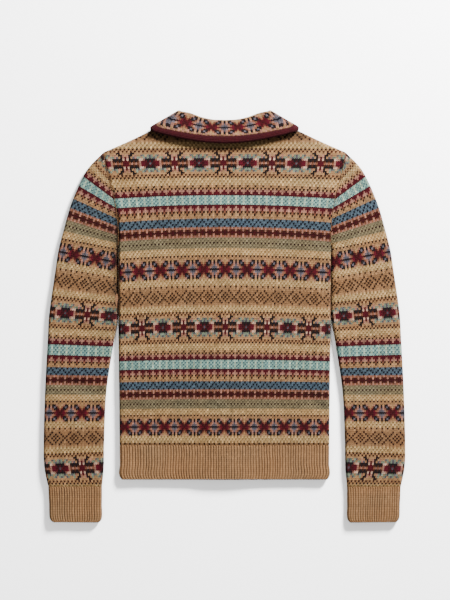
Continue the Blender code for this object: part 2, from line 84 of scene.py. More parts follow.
SIDE = {
    "y": (HEM_TOP, -0.136, -0.022, 0.06, 0.1133, 0.141, 0.1932, 0.2469, 0.2681),
    "x": (0.171, 0.1716, 0.173, 0.1735, 0.1736, 0.1732, 0.1798, 0.1936, 0.1972),
}
UNDERARM = 0.1133
SHOULDER_TIP = 0.2681
NECK_POINT = (0.084, 0.322)
NECK_DROP = 0.033
NECK_ROUND = 2.4
SHOULDER_SAG = 0.0017
NECK_FADE = 0.012
SIDE_FADE = 0.014
SHOULDER_STEEP = 1.12
V_EDGE = {
    "y": (BREAK, 0.158, 0.196, 0.232, 0.266, 0.3, 0.322),
    "x": (0.0153, 0.016, 0.031, 0.047, 0.062, 0.076, 0.084),
}
LAPEL_REACH = {
    "y": (0.11, 0.13, 0.152, 0.18, 0.212, 0.246, 0.276, 0.302),
    "x": (-0.03, 0.02, 0.06, 0.102, 0.134, 0.153, 0.16, 0.158),
}
REACH_FADE = 0.02
SLEEVE = {
    "t": (0.0, 0.06, 0.16, 0.28, 0.4, 0.5, 0.6, 0.68, 0.76, 0.84, 0.92, 1.0),
    "outer x": (0.2876, 0.2934, 0.295, 0.2926, 0.2884, 0.2855, 0.2755, 0.2712, 0.2635, 0.249, 0.2255,
                0.1978),
    "outer y": (-0.2776, -0.25, -0.205, -0.12, -0.04, 0.0075, 0.0774, 0.106, 0.137, 0.186, 0.237,
                0.2676),
    "inner x": (0.2002, 0.1976, 0.1967, 0.193, 0.1813, 0.1743, 0.1741, 0.1742, 0.1743, 0.1743, 0.1744,
                0.1745),
    "inner y": (-0.2776, -0.25, -0.204, -0.1225, -0.043, -0.0005, 0.0611, 0.0882, 0.1, 0.108, 0.1115,
                0.113),
}
CUFF = {
    "t": (0.0, 0.45, 0.88, 1.0),
    "outer x": (0.2874, 0.2862, 0.2838, 0.2805),
    "outer y": (-0.2779, -0.305, -0.3318, -0.3352),
    "inner x": (0.2004, 0.2006, 0.2018, 0.205),
    "inner y": (-0.2779, -0.305, -0.3322, -0.3358),
}
HEM_PULL = {"y": (HEM_END, -0.262, -0.24, HEM_TOP - SEAM), "in": (HEM_CORNER, 0.0008, 0.0004, 0)}
COLLAR = {
    "place": tuple(range(15)),
    "turn": (0, 0, 0, 0, 0, 36, 72, 108, 144, 180, 180, 180, 180, 180, 180),
    "roll x": (0.0, 0.02, 0.04, 0.058, 0.0722, 0.0728, 0.073, 0.073, 0.0728, 0.072, 0.064, 0.05, 0.035,
               0.0205, 0.007),
    "roll y": (0.3172, 0.3182, 0.3227, 0.3296, 0.3326, 0.3314, 0.3302, 0.3293, 0.3285, 0.3268, 0.305,
               0.269, 0.233, 0.197, 0.16),
    "foot x": (0.0, 0.02, 0.041, 0.062, 0.08, 0.0812, 0.0816, 0.0818, 0.0816, 0.0805, 0.0745, 0.0607,
               0.0456, 0.0297, 0.0132),
    "foot y": (0.2893, 0.2904, 0.2952, 0.3054, 0.3205, 0.3232, 0.324, 0.324, 0.3232, 0.3205, 0.3005,
               0.2664, 0.2324, 0.196, 0.1606),
    "edge x": (0.0, 0.033, 0.062, 0.093, 0.116, 0.1178, 0.1182, 0.1186, 0.1192, 0.1205, 0.126, 0.119,
               0.098, 0.066, 0.027),
    "edge y": (0.2815, 0.2836, 0.288, 0.2948, 0.301, 0.3028, 0.3028, 0.3022, 0.3006, 0.296, 0.274,
               0.244, 0.211, 0.179, 0.156),
}

CUFF_LENGTH = 0.0575
UNEVEN = 0.00022            # the cloth's own soft waves
# The armholes' grooves: depth, and reach on the side that sinks and on the other one.
SLEEVE_SINKS = (0.0044, 0.0105, 0.0022)
BODY_SINKS = (0.0021, 0.0120, 0.0060)

# Creases, listed one by one: from x, y to x, y, then width and depth; a ridge has its depth below zero.
CREASES = (
    (0.148, 0.12, 0.085, 0.06, 0.011, 0.0009),
    (-0.146, 0.104, -0.07, 0.03, 0.012, 0.001),
    (0.145, -0.036, 0.09, -0.075, 0.012, 0.0007),
    (-0.142, -0.094, -0.075, -0.14, 0.012, 0.0007),
    (0.178, 0.225, 0.12, 0.19, 0.01, 0.0008),
    (-0.178, 0.215, -0.11, 0.17, 0.011, 0.0009),
    (0.195, 0.12, 0.245, 0.03, 0.01, 0.0011),
    (-0.195, 0.13, -0.24, 0.05, 0.01, 0.0011),
    (0.2, -0.02, 0.27, 0.01, 0.009, 0.001),
    (-0.205, -0.035, -0.268, -0.005, 0.009, 0.001),
    (0.215, -0.15, 0.28, -0.12, 0.01, 0.0008),
    (-0.212, -0.12, -0.282, -0.1, 0.01, 0.0009),
    (0.215, 0.215, 0.238, 0.13, 0.009, 0.0008),
    (-0.215, 0.205, -0.24, 0.12, 0.009, 0.0008),
    (-0.168, 0.118, -0.112, 0.142, 0.0075, 0.0009),
    (-0.166, 0.096, -0.12, 0.088, 0.009, 0.0007),
    (0.168, 0.116, 0.104, 0.15, 0.0085, 0.001),
    (0.166, 0.09, 0.128, 0.07, 0.007, 0.0006),
    (0.163, -0.15, 0.118, -0.118, 0.01, 0.0007),
    (-0.12, -0.196, -0.104, -0.14, 0.011, 0.0006),
    (0.064, -0.198, 0.078, -0.15, 0.009, -0.0005),
    (-0.196, 0.08, -0.232, 0.112, 0.0085, 0.001),
    (-0.202, 0.03, -0.246, 0.02, 0.01, 0.0008),
    (-0.226, -0.118, -0.268, -0.098, 0.008, 0.0011),
    (-0.21, -0.15, -0.244, -0.168, 0.0065, 0.0007),
    (-0.262, -0.23, -0.246, -0.262, 0.0055, -0.0006),
    (0.194, 0.084, 0.238, 0.104, 0.01, 0.0009),
    (0.206, 0.002, 0.252, 0.024, 0.0075, 0.0007),
    (0.272, -0.07, 0.232, -0.092, 0.009, 0.001),
    (0.21, -0.186, 0.24, -0.202, 0.006, 0.0006),
    (0.248, -0.236, 0.262, -0.264, 0.006, -0.0005),
)

# ---- the knitting's gauge ------------------------------------------------------------------------
MOST_STITCHES = 66.0        # more than any row of the body has from its middle to a side seam
PER_STITCH = 4              # columns of points to a stitch
LEAN = 0.5                  # a stitch's legs rise by this share of a row from its middle outwards
SLEEVE_STITCH = 0.00298     # width
COLLAR_ROW = 0.00325        # height
RIB_ROW = 0.0033            # height
COLLAR_STITCHES = 84.0      # from the centre back to each end
TRIM_STITCH = 0.0026
TRIM_COLUMNS = 9            # stitches round the border
TRIM_REACH = 0.0018         # the border's inner edge lies this far over the collar
FIRST_ROW, LAST_ROW = -24, 143.5
FRONT_START = 4.5           # stitches from the middle to a front's edge
SLEEVE_TOP_ROW, SLEEVE_LAST_ROW = 7.0, 171.5
SLEEVE_STITCHES = 42.0      # across one layer at its widest
SLEEVE_SHIFT = {-1: 3, 1: 5}    # stitches by which each sleeve's pattern is shifted
BACK_RIBS, FRONT_RIBS, CUFF_RIBS, BAND_RIBS = 79, 36, 46, 7

# Where rows lie: pattern row, counted down from the first dotted row, and its height at the
# centre back.
ROW_PLACE = {
    "n": (-32, 0, 7, 13.5, 20.5, 25, 29.5, 34, 39, 45, 57, 70, 78, 86, 98.5, 103, 107.5, 113, 118, 131,
          141, 143.5),
    "y": (0.3826, 0.273, 0.2504, 0.2298, 0.2038, 0.1899, 0.1765, 0.158, 0.1408, 0.1203, 0.0771, 0.0322,
          0.0068, -0.0203, -0.0645, -0.0779, -0.0908, -0.1105, -0.1265, -0.1675, -0.1998, HEM_TOP),
}
ROW_DIP = {
    "y": (HEM_TOP, -0.071, 0.06, 0.14, 0.198, 0.25, 0.33),
    "dip": (0.0, 0.0028, 0.0058, 0.0066, 0.0056, 0.002, 0.0),
}

# Width of a stitch on the body, and where the middle stitch lies, by height.
GAUGE = {
    "y": (HEM_TOP, -0.18, -0.079, -0.017, 0.0774, 0.135, 0.19, 0.25, 0.33),
    "wide": (0.0027, 0.00271, 0.00279, 0.00283, 0.00294, 0.00301, 0.00312, 0.00331, 0.0034),
    "middle": (-0.0004, -0.0003, 0.0003, 0.0012, 0.0011, 0.0004, 0.0, -0.002, -0.003),
}

# Sleeve rows: the heights at which each meets the outer fold and the inner fold or the armhole.
SLEEVE_ROWS = {
    "n": (6.5, 13.5, 18.5, 22.5, 27.5, 40, 51, 57, 78, 85, 103, 118, 135, 163, 171.5),
    "outer": (0.2681, 0.2523, 0.2396, 0.2282, 0.2134, 0.1677, 0.1265, 0.106, 0.0328, 0.0075, -0.0538,
              -0.1035, -0.1573, -0.2486, -0.2776),
    "inner": (0.2681, 0.2236, 0.2088, 0.1905, 0.178, 0.139, 0.1092, 0.0882, 0.0214, -0.0005, -0.0571,
              -0.1045, -0.1573, -0.246, -0.2776),
}
PIT_ROW = 49.8              # the row that meets the underarm
COLLAR_FALL_ROWS = (9.8, 10.0, 10.2, 10.6, 11.5, 11.8, 12.2, 12.7, 13.2, 14.0, 17.5, 17.8, 17.0,
                    11.6, 3.2)

# ---- yarns ---------------------------------------------------------------------------------------
YARNS = {
    ".": (158, 123, 88),     # tan ground
    ",": (138, 105, 74),     # tan, a shade darker
    "c": (186, 156, 114),    # cream
    "y": (144, 115, 74),     # gold
    "o": (150, 108, 93),     # pinkish tan
    "t": (128, 84, 62),      # russet
    "b": (84, 80, 86),       # blue grey
    "s": (96, 90, 96),       # pale blue grey
    "g": (116, 126, 108),    # sea green
    "u": (82, 112, 114),     # slate light blue
    "m": (138, 166, 152),    # mint
    "w": (172, 184, 160),    # mint cream
    "p": (188, 156, 134),    # pale pink
    "e": (130, 118, 92),     # grey green
    "f": (98, 88, 66),       # grey green, a shade darker
    "z": (78, 92, 102),      # slate ground
    "n": (8, 10, 26),        # navy
    "k": (30, 16, 18),       # near black
    "d": (46, 22, 6),        # dark brown
    "h": (70, 36, 16),       # reddish brown
    "a": (76, 6, 22),        # maroon
    "r": (90, 10, 32),       # crimson
    "x": (62, 2, 8),         # dark red
}
CAMEL = (163, 126, 90)
MAROON = (66, 10, 22)
WOOL_DEPTH = 0.42           # share of a listed colour's light that the wool itself sends back
WOOL_RICHNESS = 1.16        # power that deepens the listed colours
# Painted shade: the shadow under the collar's edge and the shade on the left sleeve beside the body;
# how much darker, and how far that reaches.
COLLAR_PAINTED_SHADOW = (0.55, 0.0125)
SLEEVE_PAINTED_SHADE = (0.62, 0.0145)

# Charts, top row first.  A folded chart starts at the motif's middle and is mirrored there and at
# its last stitch.
ANTLER = (
    "...kk........",
    ".okk.o..bg.gb",
    "aok.bogg.gbgb",
    "apkkkkkppokkk",
    "aahkhkhoraaka",
    "aatototorrxab",
    "aahkhkhoraaka",
    "apkkkkkppokkk",
    "aok.ogbg.gbgg",
    ".okk.g..gb.gb",
    "...kk........",
)
STAR = (
    "..okk.k",
    ".tkskok",
    "takktos",
    "axrtosb",
    "xarrkkn",
    "axrtosb",
    "takktos",
    ".tkskok",
    "..okk.k",
)
DIAMONDS = (",,d,,,", "d,,d,,", ",d,,d,", "d,d,,d", ",d,,d,", "d,,d,,", ",,d,,,")
ZIGZAG = ("nzzn", "znzz", "zznz", "nzzn")
LIGHT_BLUE = ("umm", "muw", "umm", "muw", "umm")


def unfold(chart):
    return [row + row[-2:0:-1] for row in chart]


BANDS = (
    ["d."], [".h"], unfold(ANTLER), [".h"], ["d."], ["cy", "yc", "cy"],
    ["d...", ".d.d"], ["aooo", "aaoa", "aaaa"], unfold(LIGHT_BLUE), ["aaaa", "aaoa", "aooo"],
    ["td.d", "d..."], [".,"], unfold(ZIGZAG), ["ot"], ["xhoh", "xxxx", "xhoh"], ["ot"],
    ["fe", "ef", "de", "ef", "fe"], ["cy", "yc", "cy"], ["d."], [".,"], unfold(STAR),
    ["yc", "cy", "yc"], ["d.."], [",."], unfold(DIAMONDS), [",."], ["yc", "cy", "yc"],
)
PERIOD = [row for band in BANDS for row in band]
COLLAR_PATTERN = [".,", "o,", *unfold(STAR), ".,", "y.", ",.", "yc", "cy", "d..", ".,", ",."]


# ---- small tools ---------------------------------------------------------------------------------
QUARTER = math.pi / 2
OVER = QUARTER - 1          # a quarter turn's way is longer than its radius by this share


def read(table, column, along, at):
    """A table's column, read smoothly at any place along another column."""
    places = np.array(table[along], float)
    values = np.array(table[column], float)
    slopes = np.gradient(values, places)
    at = np.clip(at, places[0], places[-1])
    i = np.clip(np.searchsorted(places, at) - 1, 0, len(places) - 2)
    width = places[i + 1] - places[i]
    t = (at - places[i]) / width
    rise = values[i + 1] - values[i]
    start = slopes[i] * width
    end = slopes[i + 1] * width
    return values[i] + t * (start + t * (3 * rise - 2 * start - end + t * (start + end - 2 * rise)))


def side_x(y):
    """Half the body's width at a height."""
    return read(SIDE, "x", "y", y)


def row_y(row):
    """Height of a pattern row at the centre back."""
    return read(ROW_PLACE, "y", "n", row)


def xyz(*parts):
    return np.stack(parts, -1)


def ease(t):
    t = np.clip(t, 0.0, 1.0)
    return t * t * (3 - 2 * t)


def mix(a, b, t):
    return a + (b - a) * t


def bell(off, wide):
    return np.exp(-(off / wide) ** 2)


def run_along(line):
    """Way along a run of points, from its first one."""
    return np.concatenate([[0], np.cumsum(np.linalg.norm(np.diff(line, axis=0), axis=1))])


def linear(rgb):
    """A colour as the eye sees it on the cloth, as the wool's own reflectance."""
    c = np.asarray(rgb, float) / 255
    return WOOL_DEPTH * np.where(c <= 0.04045, c / 12.92, ((c + 0.055) / 1.055) ** 2.4) ** WOOL_RICHNESS


def swell(x, y, size, seed):
    """A smooth, uneven value between about -1 and 1 that changes over the given size."""
    rng = np.random.default_rng(seed)
    total = 0.0
    for _ in range(7):
        angle, phase = rng.uniform(0, 2 * math.pi, 2)
        turns = rng.uniform(0.6, 1.5) * 2 * math.pi / size
        total = total + np.sin((x * math.cos(angle) + y * math.sin(angle)) * turns + phase)
    return total / 3.2


def placed(name, data):
    """A new object with its data, in the scene."""
    thing = bpy.data.objects.new(name, data)
    bpy.context.scene.collection.objects.link(thing)
    return thing


def feed(tree, node, values):
    """Set a node's inputs to values, or link other nodes' outputs to them."""
    for label, value in values.items():
        if isinstance(value, bpy.types.NodeSocket):
            tree.links.new(value, node.inputs[label])
        else:
            node.inputs[label].default_value = value


def add_node(tree, kind, values, **settings):
    """A new node's outputs, once it has its settings and inputs."""
    made = tree.nodes.new(kind)
    for key, value in settings.items():
        setattr(made, key, value)
    feed(tree, made, values)
    return made.outputs


# ---- the heights at which the cloth lies ---------------------------------------------------------
def crease(x, y):
    """Depth of the creases at a place; each fades towards its far end."""
    depth = np.zeros(np.shape(x))
    for x0, y0, x1, y1, wide, deep in CREASES:
        run = np.array((x1 - x0, y1 - y0))
        along = ((x - x0) * run[0] + (y - y0) * run[1]) / (run @ run)
        off = np.hypot(x - x0 - run[0] * np.clip(along, 0, 1), y - y0 - run[1] * np.clip(along, 0, 1))
        depth = depth + deep * bell(off, wide) * ease(1.15 - along)
    return depth


def groove_reach(y):
    """How strongly the armholes sink at a height: from the waist upwards, less near the shoulder."""
    return ease((y + 0.065) / 0.08) * mix(1.0, 0.25, ease((y - 0.125) / 0.07))


def groove(x, y):
    """How far the armholes sink: the left sleeve under the body, the body beside the right one."""
    def sunk(away, deep, near, far):
        return deep * np.where(away > 0, bell(away, near), bell(away, far))

    past = np.abs(x) - side_x(y)
    return groove_reach(y) * np.where(x < 0, sunk(past, *SLEEVE_SINKS), sunk(-past, *BODY_SINKS))


def upper(x, y):
    """Height of the garment's upper surface, away from its rounded edges."""
    crown = CROWN * bell(x, CROWN_SPREAD) * ease((BREAK + CROWN_FADE - y) / CROWN_FADE)
    return LIE + crown - crease(x, y) - groove(x, y) + UNEVEN * swell(x, y, 0.050, 3)


def under_lapel(x, y):
    """Height of the lapels' upper surface, on which the fronts lie."""
    reach = read(LAPEL_REACH, "x", "y", y)
    return LAPEL_LIFT * ease((reach + 0.002 - np.abs(x)) / REACH_FADE)


def lower(x, y):
    """Height of the fronts' lower surface: on the floor, or over lapels, buttons and band."""
    lift = np.where(x < 0, LEFT_LIFT, RIGHT_LIFT)
    beside = ease((BAND_FADE - np.abs(x)) / (BAND_FADE - BAND_FLAT))
    centre = beside * ease((BREAK - y) / BREAK_FADE + 1.1)
    return np.maximum(under_lapel(x, y), lift * centre)


def fold_at(x, y):
    """Radius of the fold at the garment's edge."""
    return (LIE - under_lapel(x, y)) / 2 - SEAM


# ---- skins: grids of stitches joined into closed shells ------------------------------------------
class Skin:
    """One face of a cloth piece, gathered grid by grid; doubled points become one."""

    def __init__(self, grids=()):
        self.grids = []
        self.count = 0
        for grid in grids:
            self.add(*grid)

    def add(self, points, lift, place, colours, flip=False):
        """points (rows, columns, 3), lift and stitch place for each; a colour for each cell."""
        rows, columns = points.shape[:2]
        index = np.arange(rows * columns).reshape(rows, columns)
        corners = [index[:-1, :-1], index[:-1, 1:], index[1:, 1:], index[1:, :-1]]
        quads = np.stack(corners[::-1] if flip else corners, -1).reshape(-1, 4)
        colours = np.broadcast_to(colours, (rows - 1, columns - 1, 3))
        self.grids.append((points.reshape(-1, 3), np.broadcast_to(lift, (rows, columns)).reshape(-1),
                           quads + self.count, place.reshape(-1, 2)[quads], colours.reshape(-1, 3)))
        self.count += rows * columns

    def join(self):
        """Merge doubled points; returns points, lifts and a list of (faces, places, colours)."""
        points, lift, quads, places, colours = (np.concatenate(part) for part in zip(*self.grids))
        keys = np.round(points / 2e-6).astype(np.int64)
        _, first, inverse = np.unique(keys, axis=0, return_index=True, return_inverse=True)
        quads = inverse.reshape(-1)[quads]
        same = quads == np.roll(quads, -1, axis=1)
        folded = (quads[:, 0] == quads[:, 2]) | (quads[:, 1] == quads[:, 3])
        doubled = same.sum(1)
        whole = (doubled == 0) & ~folded
        parts = [(quads[whole], places[whole], colours[whole])]
        for k in range(4):
            chosen = (doubled == 1) & same[:, k] & ~folded
            keep = [i for i in range(4) if i != k]
            parts.append((quads[chosen][:, keep], places[chosen][:, keep], colours[chosen]))
        return points[first], lift[first], parts


def point_normals(points, parts):
    normals = np.zeros_like(points)
    for faces, _, _ in parts:
        if not len(faces):
            continue
        corner = points[faces]
        cross = np.cross(corner[:, 2] - corner[:, 0], corner[:, -1] - corner[:, 1])
        if faces.shape[1] == 3:
            cross = np.cross(corner[:, 1] - corner[:, 0], corner[:, 2] - corner[:, 0])
        for k in range(faces.shape[1]):
            np.add.at(normals, faces[:, k], cross)
    length = np.linalg.norm(normals, axis=1, keepdims=True)
    return normals / np.maximum(length, 1e-12)


def edge_loops(parts, count):
    """The open edges of a skin as closed loops of points, in the faces' own direction."""
    a = np.concatenate([faces.reshape(-1) for faces, _, _ in parts])
    b = np.concatenate([np.roll(faces, -1, axis=1).reshape(-1) for faces, _, _ in parts])
    border = ~np.isin(a * count + b, b * count + a)
    following = {}
    for start, end in zip(a[border].tolist(), b[border].tolist()):
        following.setdefault(start, []).append(end)
    loops = []
    while following:
        start = next(iter(following))
        loop = [start]
        step = None
        while step != start:
            ways = following[loop[-1]]
            step = ways.pop()
            if not ways:
                del following[loop[-1]]
            loop.append(step)
        loops.append(np.array(loop[:-1]))
    return loops


def zip_loops(outer, outer_points, inner, inner_points):
    """Triangles between two loops that run alongside each other."""
    here = outer_points[:, None, :]
    start = inner_points[None, :, :]
    run = np.roll(inner_points, -1, axis=0)[None, :, :] - start
    share = np.clip(((here - start) * run).sum(-1) / np.maximum((run ** 2).sum(-1), 1e-15), 0, 1)
    gap = np.linalg.norm(here - start - run * share[..., None], axis=-1)
    nearest = gap.argmin(1)
    along = nearest + share[np.arange(len(outer)), nearest]
    count = len(inner)
    first = int(round(along[0])) % count
    along = (along - first + 0.5) % count - 0.5
    early = np.arange(len(outer)) < len(outer) * 0.25
    late = np.arange(len(outer)) > len(outer) * 0.75
    along = np.where(early & (along > 0.7 * count), 0.0, along)
    along = np.where(late & (along < 0.3 * count), float(count), along)
    along = np.maximum.accumulate(along)
    triangles = []
    i = j = 0
    while i < len(outer) or j < count:
        next_outer = along[i + 1] if i + 1 < len(outer) else count
        if i < len(outer) and (j >= count or next_outer <= j + 1):
            triangles.append((outer[(i + 1) % len(outer)], outer[i], inner[(first + j) % count]))
            i += 1
        else:
            triangles.append((outer[i % len(outer)], inner[(first + j) % count],
                              inner[(first + j + 1) % count]))
            j += 1
    return np.array(triangles)


def shell(name, grids, material, inside):
    """A closed piece: fine grids outside, coarse ones a wall's thickness inside them."""
    points, lift, parts = Skin(grids(True)).join()
    loops = edge_loops(parts, len(points))
    for loop in loops:
        lift[loop] = np.minimum(lift[loop], 0.0)
    outside = points + point_normals(points, parts) * lift[:, None]
    back_points, _, back_parts = Skin(grids(False)).join()
    back_loops = edge_loops(back_parts, len(back_points))
    inward = back_points - point_normals(back_points, back_parts) * WALL
    shift = len(outside)
    groups = list(parts)
    for faces, places, colours in back_parts:
        groups.append((faces[:, ::-1] + shift, places[:, ::-1], np.broadcast_to(inside, colours.shape)))
    centres = [inward[loop].mean(0) for loop in back_loops]
    for loop in loops:
        middle = outside[loop].mean(0)
        near = back_loops[int(np.argmin([np.linalg.norm(c - middle) for c in centres]))]
        rim = zip_loops(loop, outside[loop], near + shift, inward[near])
        groups.append((rim, np.zeros((len(rim), 3, 2)), np.broadcast_to(inside, (len(rim), 3))))
    return mesh_piece(name, np.concatenate([outside, inward]), groups, material)


def mesh_piece(name, points, groups, material):
    """A mesh object from points and groups of (faces, stitch places, colours)."""
    points[:, 2] = np.maximum(points[:, 2], 0.0)
    groups = [group for group in groups if len(group[0])]
    mesh = bpy.data.meshes.new(name)
    corners = np.concatenate([faces.reshape(-1) for faces, _, _ in groups])
    sizes = np.concatenate([np.full(len(faces), faces.shape[1]) for faces, _, _ in groups])
    starts = np.concatenate([[0], np.cumsum(sizes)[:-1]])
    mesh.vertices.add(len(points))
    mesh.vertices.foreach_set("co", points.astype(np.float32).reshape(-1))
    mesh.loops.add(len(corners))
    mesh.loops.foreach_set("vertex_index", corners.astype(np.int32))
    mesh.polygons.add(len(sizes))
    mesh.polygons.foreach_set("loop_start", starts.astype(np.int32))
    mesh.update(calc_edges=True)
    places = np.concatenate([uv.reshape(-1, 2) for _, uv, _ in groups])
    mesh.uv_layers.new(name="stitches")
    mesh.uv_layers["stitches"].uv.foreach_set("vector", places.astype(np.float32).reshape(-1))
    yarn = np.concatenate([np.repeat(colour, faces.shape[1], axis=0) for faces, _, colour in groups])
    rgba = np.ones((len(yarn), 4), np.float32)
    rgba[:, :3] = yarn
    layer = mesh.color_attributes.new(name="yarn", type="FLOAT_COLOR", domain="CORNER")
    layer.data.foreach_set("color", rgba.reshape(-1))
    mesh.validate()
    mesh.shade_smooth()
    mesh.materials.append(material)
    return placed(name, mesh)


# ---- colours of stitches -------------------------------------------------------------------------
PALETTE = {letter: linear(rgb) for letter, rgb in YARNS.items()}


def shade(colours, across, down, seed, amount=0.17):
    """Uneven dyeing: each stitch, each row and each patch of the wool differs a little."""
    rng = np.random.default_rng(seed)
    size = (int(down.max() - down.min()) + 2, int(across.max() - across.min()) + 2)
    by_stitch = rng.normal(0, 1, size)[down - down.min(), across - across.min()]
    by_row = rng.normal(0, 1, size[0])[down - down.min()]
    patch = swell(across * 1.0, down * 1.0, 26, seed + 5)
    warm = swell(across * 1.0, down * 1.0, 17, seed + 9)
    value = np.exp(amount * by_stitch + 0.025 * by_row + 0.03 * patch)
    tint = np.stack([1 + 0.030 * warm, 1 - 0.004 * warm, 1 - 0.035 * warm], -1)
    return colours * value[..., None] * tint


def one_colour(rgb, across, down, seed, amount):
    return shade(np.broadcast_to(linear(rgb), (*across.shape, 3)), across, down, seed, amount)


def charted(pattern, across, down, seed, wraps=True):
    """Yarn colours for stitches at whole places (down, across) of a pattern."""
    colours = np.zeros((*across.shape, 3))
    for r, row in enumerate(down[:, 0].tolist()):
        letters = pattern[row % len(pattern) if wraps else min(max(row, 0), len(pattern) - 1)]
        yarns = np.array([PALETTE[letter] for letter in letters])
        colours[r] = yarns[across[r] % len(letters)]
    return shade(colours, across, down, seed)


def cell_middles(points):
    """Plan position of the middle of each cell of a grid."""
    middles = (points[:-1, :-1] + points[1:, 1:]) / 2
    return middles[..., 0], middles[..., 1]


def painted_collar_shadow(points):
    """Painted shadow: the wool darkened just below the collar's edge, where the collar's shadow falls
    on the back.
    """
    x, y = cell_middles(points)
    places = np.linspace(0, 7, 57)
    edge_x, edge_y = (np.interp(places, range(8), COLLAR[key][:8]) for key in ("edge x", "edge y"))
    away = np.hypot(np.abs(x)[..., None] - edge_x, y[..., None] - edge_y).min(-1)
    darker, reach = COLLAR_PAINTED_SHADOW
    return (1 - darker * bell(away, reach))[..., None]


def painted_sleeve_shade(points):
    """Painted shade on the left sleeve, where it lies in under the body's edge and in its shadow."""
    x, y = cell_middles(points)
    past = np.abs(x) - side_x(y)
    darker, reach = SLEEVE_PAINTED_SHADE
    return (1 - darker * groove_reach(y) * bell(past, reach) * (x < 0))[..., None]


# Relief of a stitch at its quarter columns: between stitches, first leg, middle, second leg.
STITCH_RELIEF = np.array((-0.00030, 0.00026, -0.00004, 0.00026))
STITCH_TOP = STITCH_RELIEF.max()


def stitch_grid(low, high, top_row, end_row, fine):
    """Stitch places, row places and relief of a grid; coarse ones serve for the inner face."""
    if fine:
        quarters = np.arange(math.floor(low * PER_STITCH), math.ceil(high * PER_STITCH) + 1)
        across = quarters / PER_STITCH
        lines = np.arange(math.floor(top_row) - 1, math.ceil(end_row) + 2) - 0.5
        stray = np.abs(2 * (across % 1.0) - 1)
        down = lines[:, None] + LEAN / 2 - LEAN * stray[None, :]
        relief = STITCH_RELIEF[quarters % PER_STITCH][None, :] + np.zeros_like(down)
    else:
        across = np.linspace(low, high, max(4, int((high - low) / 4)) + 1)
        lines = np.linspace(top_row, end_row, max(4, int((end_row - top_row) / 4)) + 1)
        down = lines[:, None] + np.zeros((1, len(across)))
        relief = np.zeros_like(down)
    across = across[None, :] + np.zeros_like(down)
    line = lines[:, None] + np.zeros_like(down)
    place = np.stack([across, line], -1)
    whole_across = np.floor((across[:-1, :-1] + across[1:, 1:]) / 2 + 1e-6).astype(int)
    whole_down = np.round((lines[:-1] + lines[1:]) / 2).astype(int)[:, None] + 0 * whole_across
    return across, down, line, relief, place, whole_across, whole_down


# ---- the body ------------------------------------------------------------------------------------
def shoulder_y(x):
    t = np.clip((np.abs(x) - NECK_POINT[0]) / (SIDE["x"][-1] - NECK_POINT[0]), 0, 1)
    return mix(NECK_POINT[1], SHOULDER_TIP, t) - SHOULDER_SAG * np.sin(math.pi * t)


def back_top(x):
    dip = 1 - np.minimum(np.abs(x) / NECK_POINT[0], 1) ** NECK_ROUND
    return np.where(np.abs(x) >= NECK_POINT[0], shoulder_y(x), NECK_POINT[1] - NECK_DROP * dip)


SIDE_RADIUS = float(fold_at(SIDE["x"][0], HEM_TOP))


def body_half(y):
    """Half the body's width, how far its side is turned, and its width over the fold."""
    half = side_x(y)
    turned = ease((UNDERARM - y) / SIDE_FADE)
    return half, turned, half + turned * OVER * SIDE_RADIUS


def body_share(stitch, level):
    """How far across the body's half width a stitch lies in a row at a level."""
    y = np.maximum(level, HEM_TOP)
    return (read(GAUGE, "middle", "y", y) + stitch * read(GAUGE, "wide", "y", y)) / body_half(y)[2]


def dipped(level, share):
    return np.maximum(level - read(ROW_DIP, "dip", "y", level) * share ** 2, HEM_TOP)


def front_edge(y):
    return np.where(y < BREAK, BAND_WIDTH / 2 + SEAM, read(V_EDGE, "x", "y", y))


def body_place(stitch, row, line, way, sign=1):
    """Points of a body panel: way 1 for the back, -1 for a front.  Clipped ones lie on its edge."""
    crown = np.full(stitch.shape, 0.29)
    for _ in range(10):
        share = np.clip(body_share(stitch, crown), -1, 1)
        crown_x = share * body_half(crown)[0]
        crown = back_top(crown_x) if way > 0 else shoulder_y(crown_x)
    crest = np.maximum(fold_at(crown_x, crown), 0.001)
    over = ease((np.abs(crown_x) - NECK_POINT[0] + NECK_FADE / 3) / NECK_FADE)
    most = crown + over * OVER * crest * SHOULDER_STEEP
    highest = most + read(ROW_DIP, "dip", "y", crown) * share ** 2

    level = np.minimum(row_y(row), highest)
    even = np.minimum(row_y(line), highest)
    clipped = np.abs(body_share(stitch, even)) > 1
    level = np.where(clipped, even, level)
    share = np.clip(body_share(stitch, level), -1, 1)
    at_edge = np.zeros(stitch.shape, bool)
    if way < 0:
        least = np.full(stitch.shape, 0.2)
        for _ in range(8):
            edge_y = dipped(row_y(line), least)
            least = front_edge(edge_y) / body_half(edge_y)[2]
        at_edge = body_share(stitch, even) < least
        share = np.where(at_edge, least, np.maximum(share, least))
        level = np.where(at_edge, row_y(line), level)
    y = np.minimum(dipped(level, share), most)
    half, turned, full = body_half(np.minimum(y, crown))
    reach = np.abs(share) * full
    bend = np.clip((reach - half + SIDE_RADIUS) / SIDE_RADIUS, 0, QUARTER)
    folded = np.where(bend > 0, half - SIDE_RADIUS + SIDE_RADIUS * np.sin(bend), reach)
    x = np.sign(share) * mix(np.abs(share) * half, folded, turned)
    if way < 0:
        x = np.where(at_edge, front_edge(y), x)
    fall = turned * SIDE_RADIUS * (1 - np.cos(bend))
    past = np.clip(crest - (crown - y) / SHOULDER_STEEP, 0, QUARTER * crest)
    rolled = np.where(past > 0, crown - SHOULDER_STEEP * crest * (1 - np.sin(past / crest)), y)
    y = mix(np.minimum(y, crown), rolled, over)
    fall = np.maximum(fall, over * crest * (1 - np.cos(past / crest)))
    if way < 0:
        return xyz(sign * x, y, lower(sign * x, y) + fall)
    return xyz(x, y, upper(x, y) - fall)


def back_grids(fine):
    across, down, line, relief, place, wa, wd = stitch_grid(
        0.5 - MOST_STITCHES, 0.5 + MOST_STITCHES, FIRST_ROW, LAST_ROW, fine)
    points = body_place(across - 0.5, down, line, 1)
    # The back's colours are darkened by a painted shadow below the collar's edge.
    yield points, relief, place, charted(PERIOD, wa, wd, 11) * painted_collar_shadow(points), True


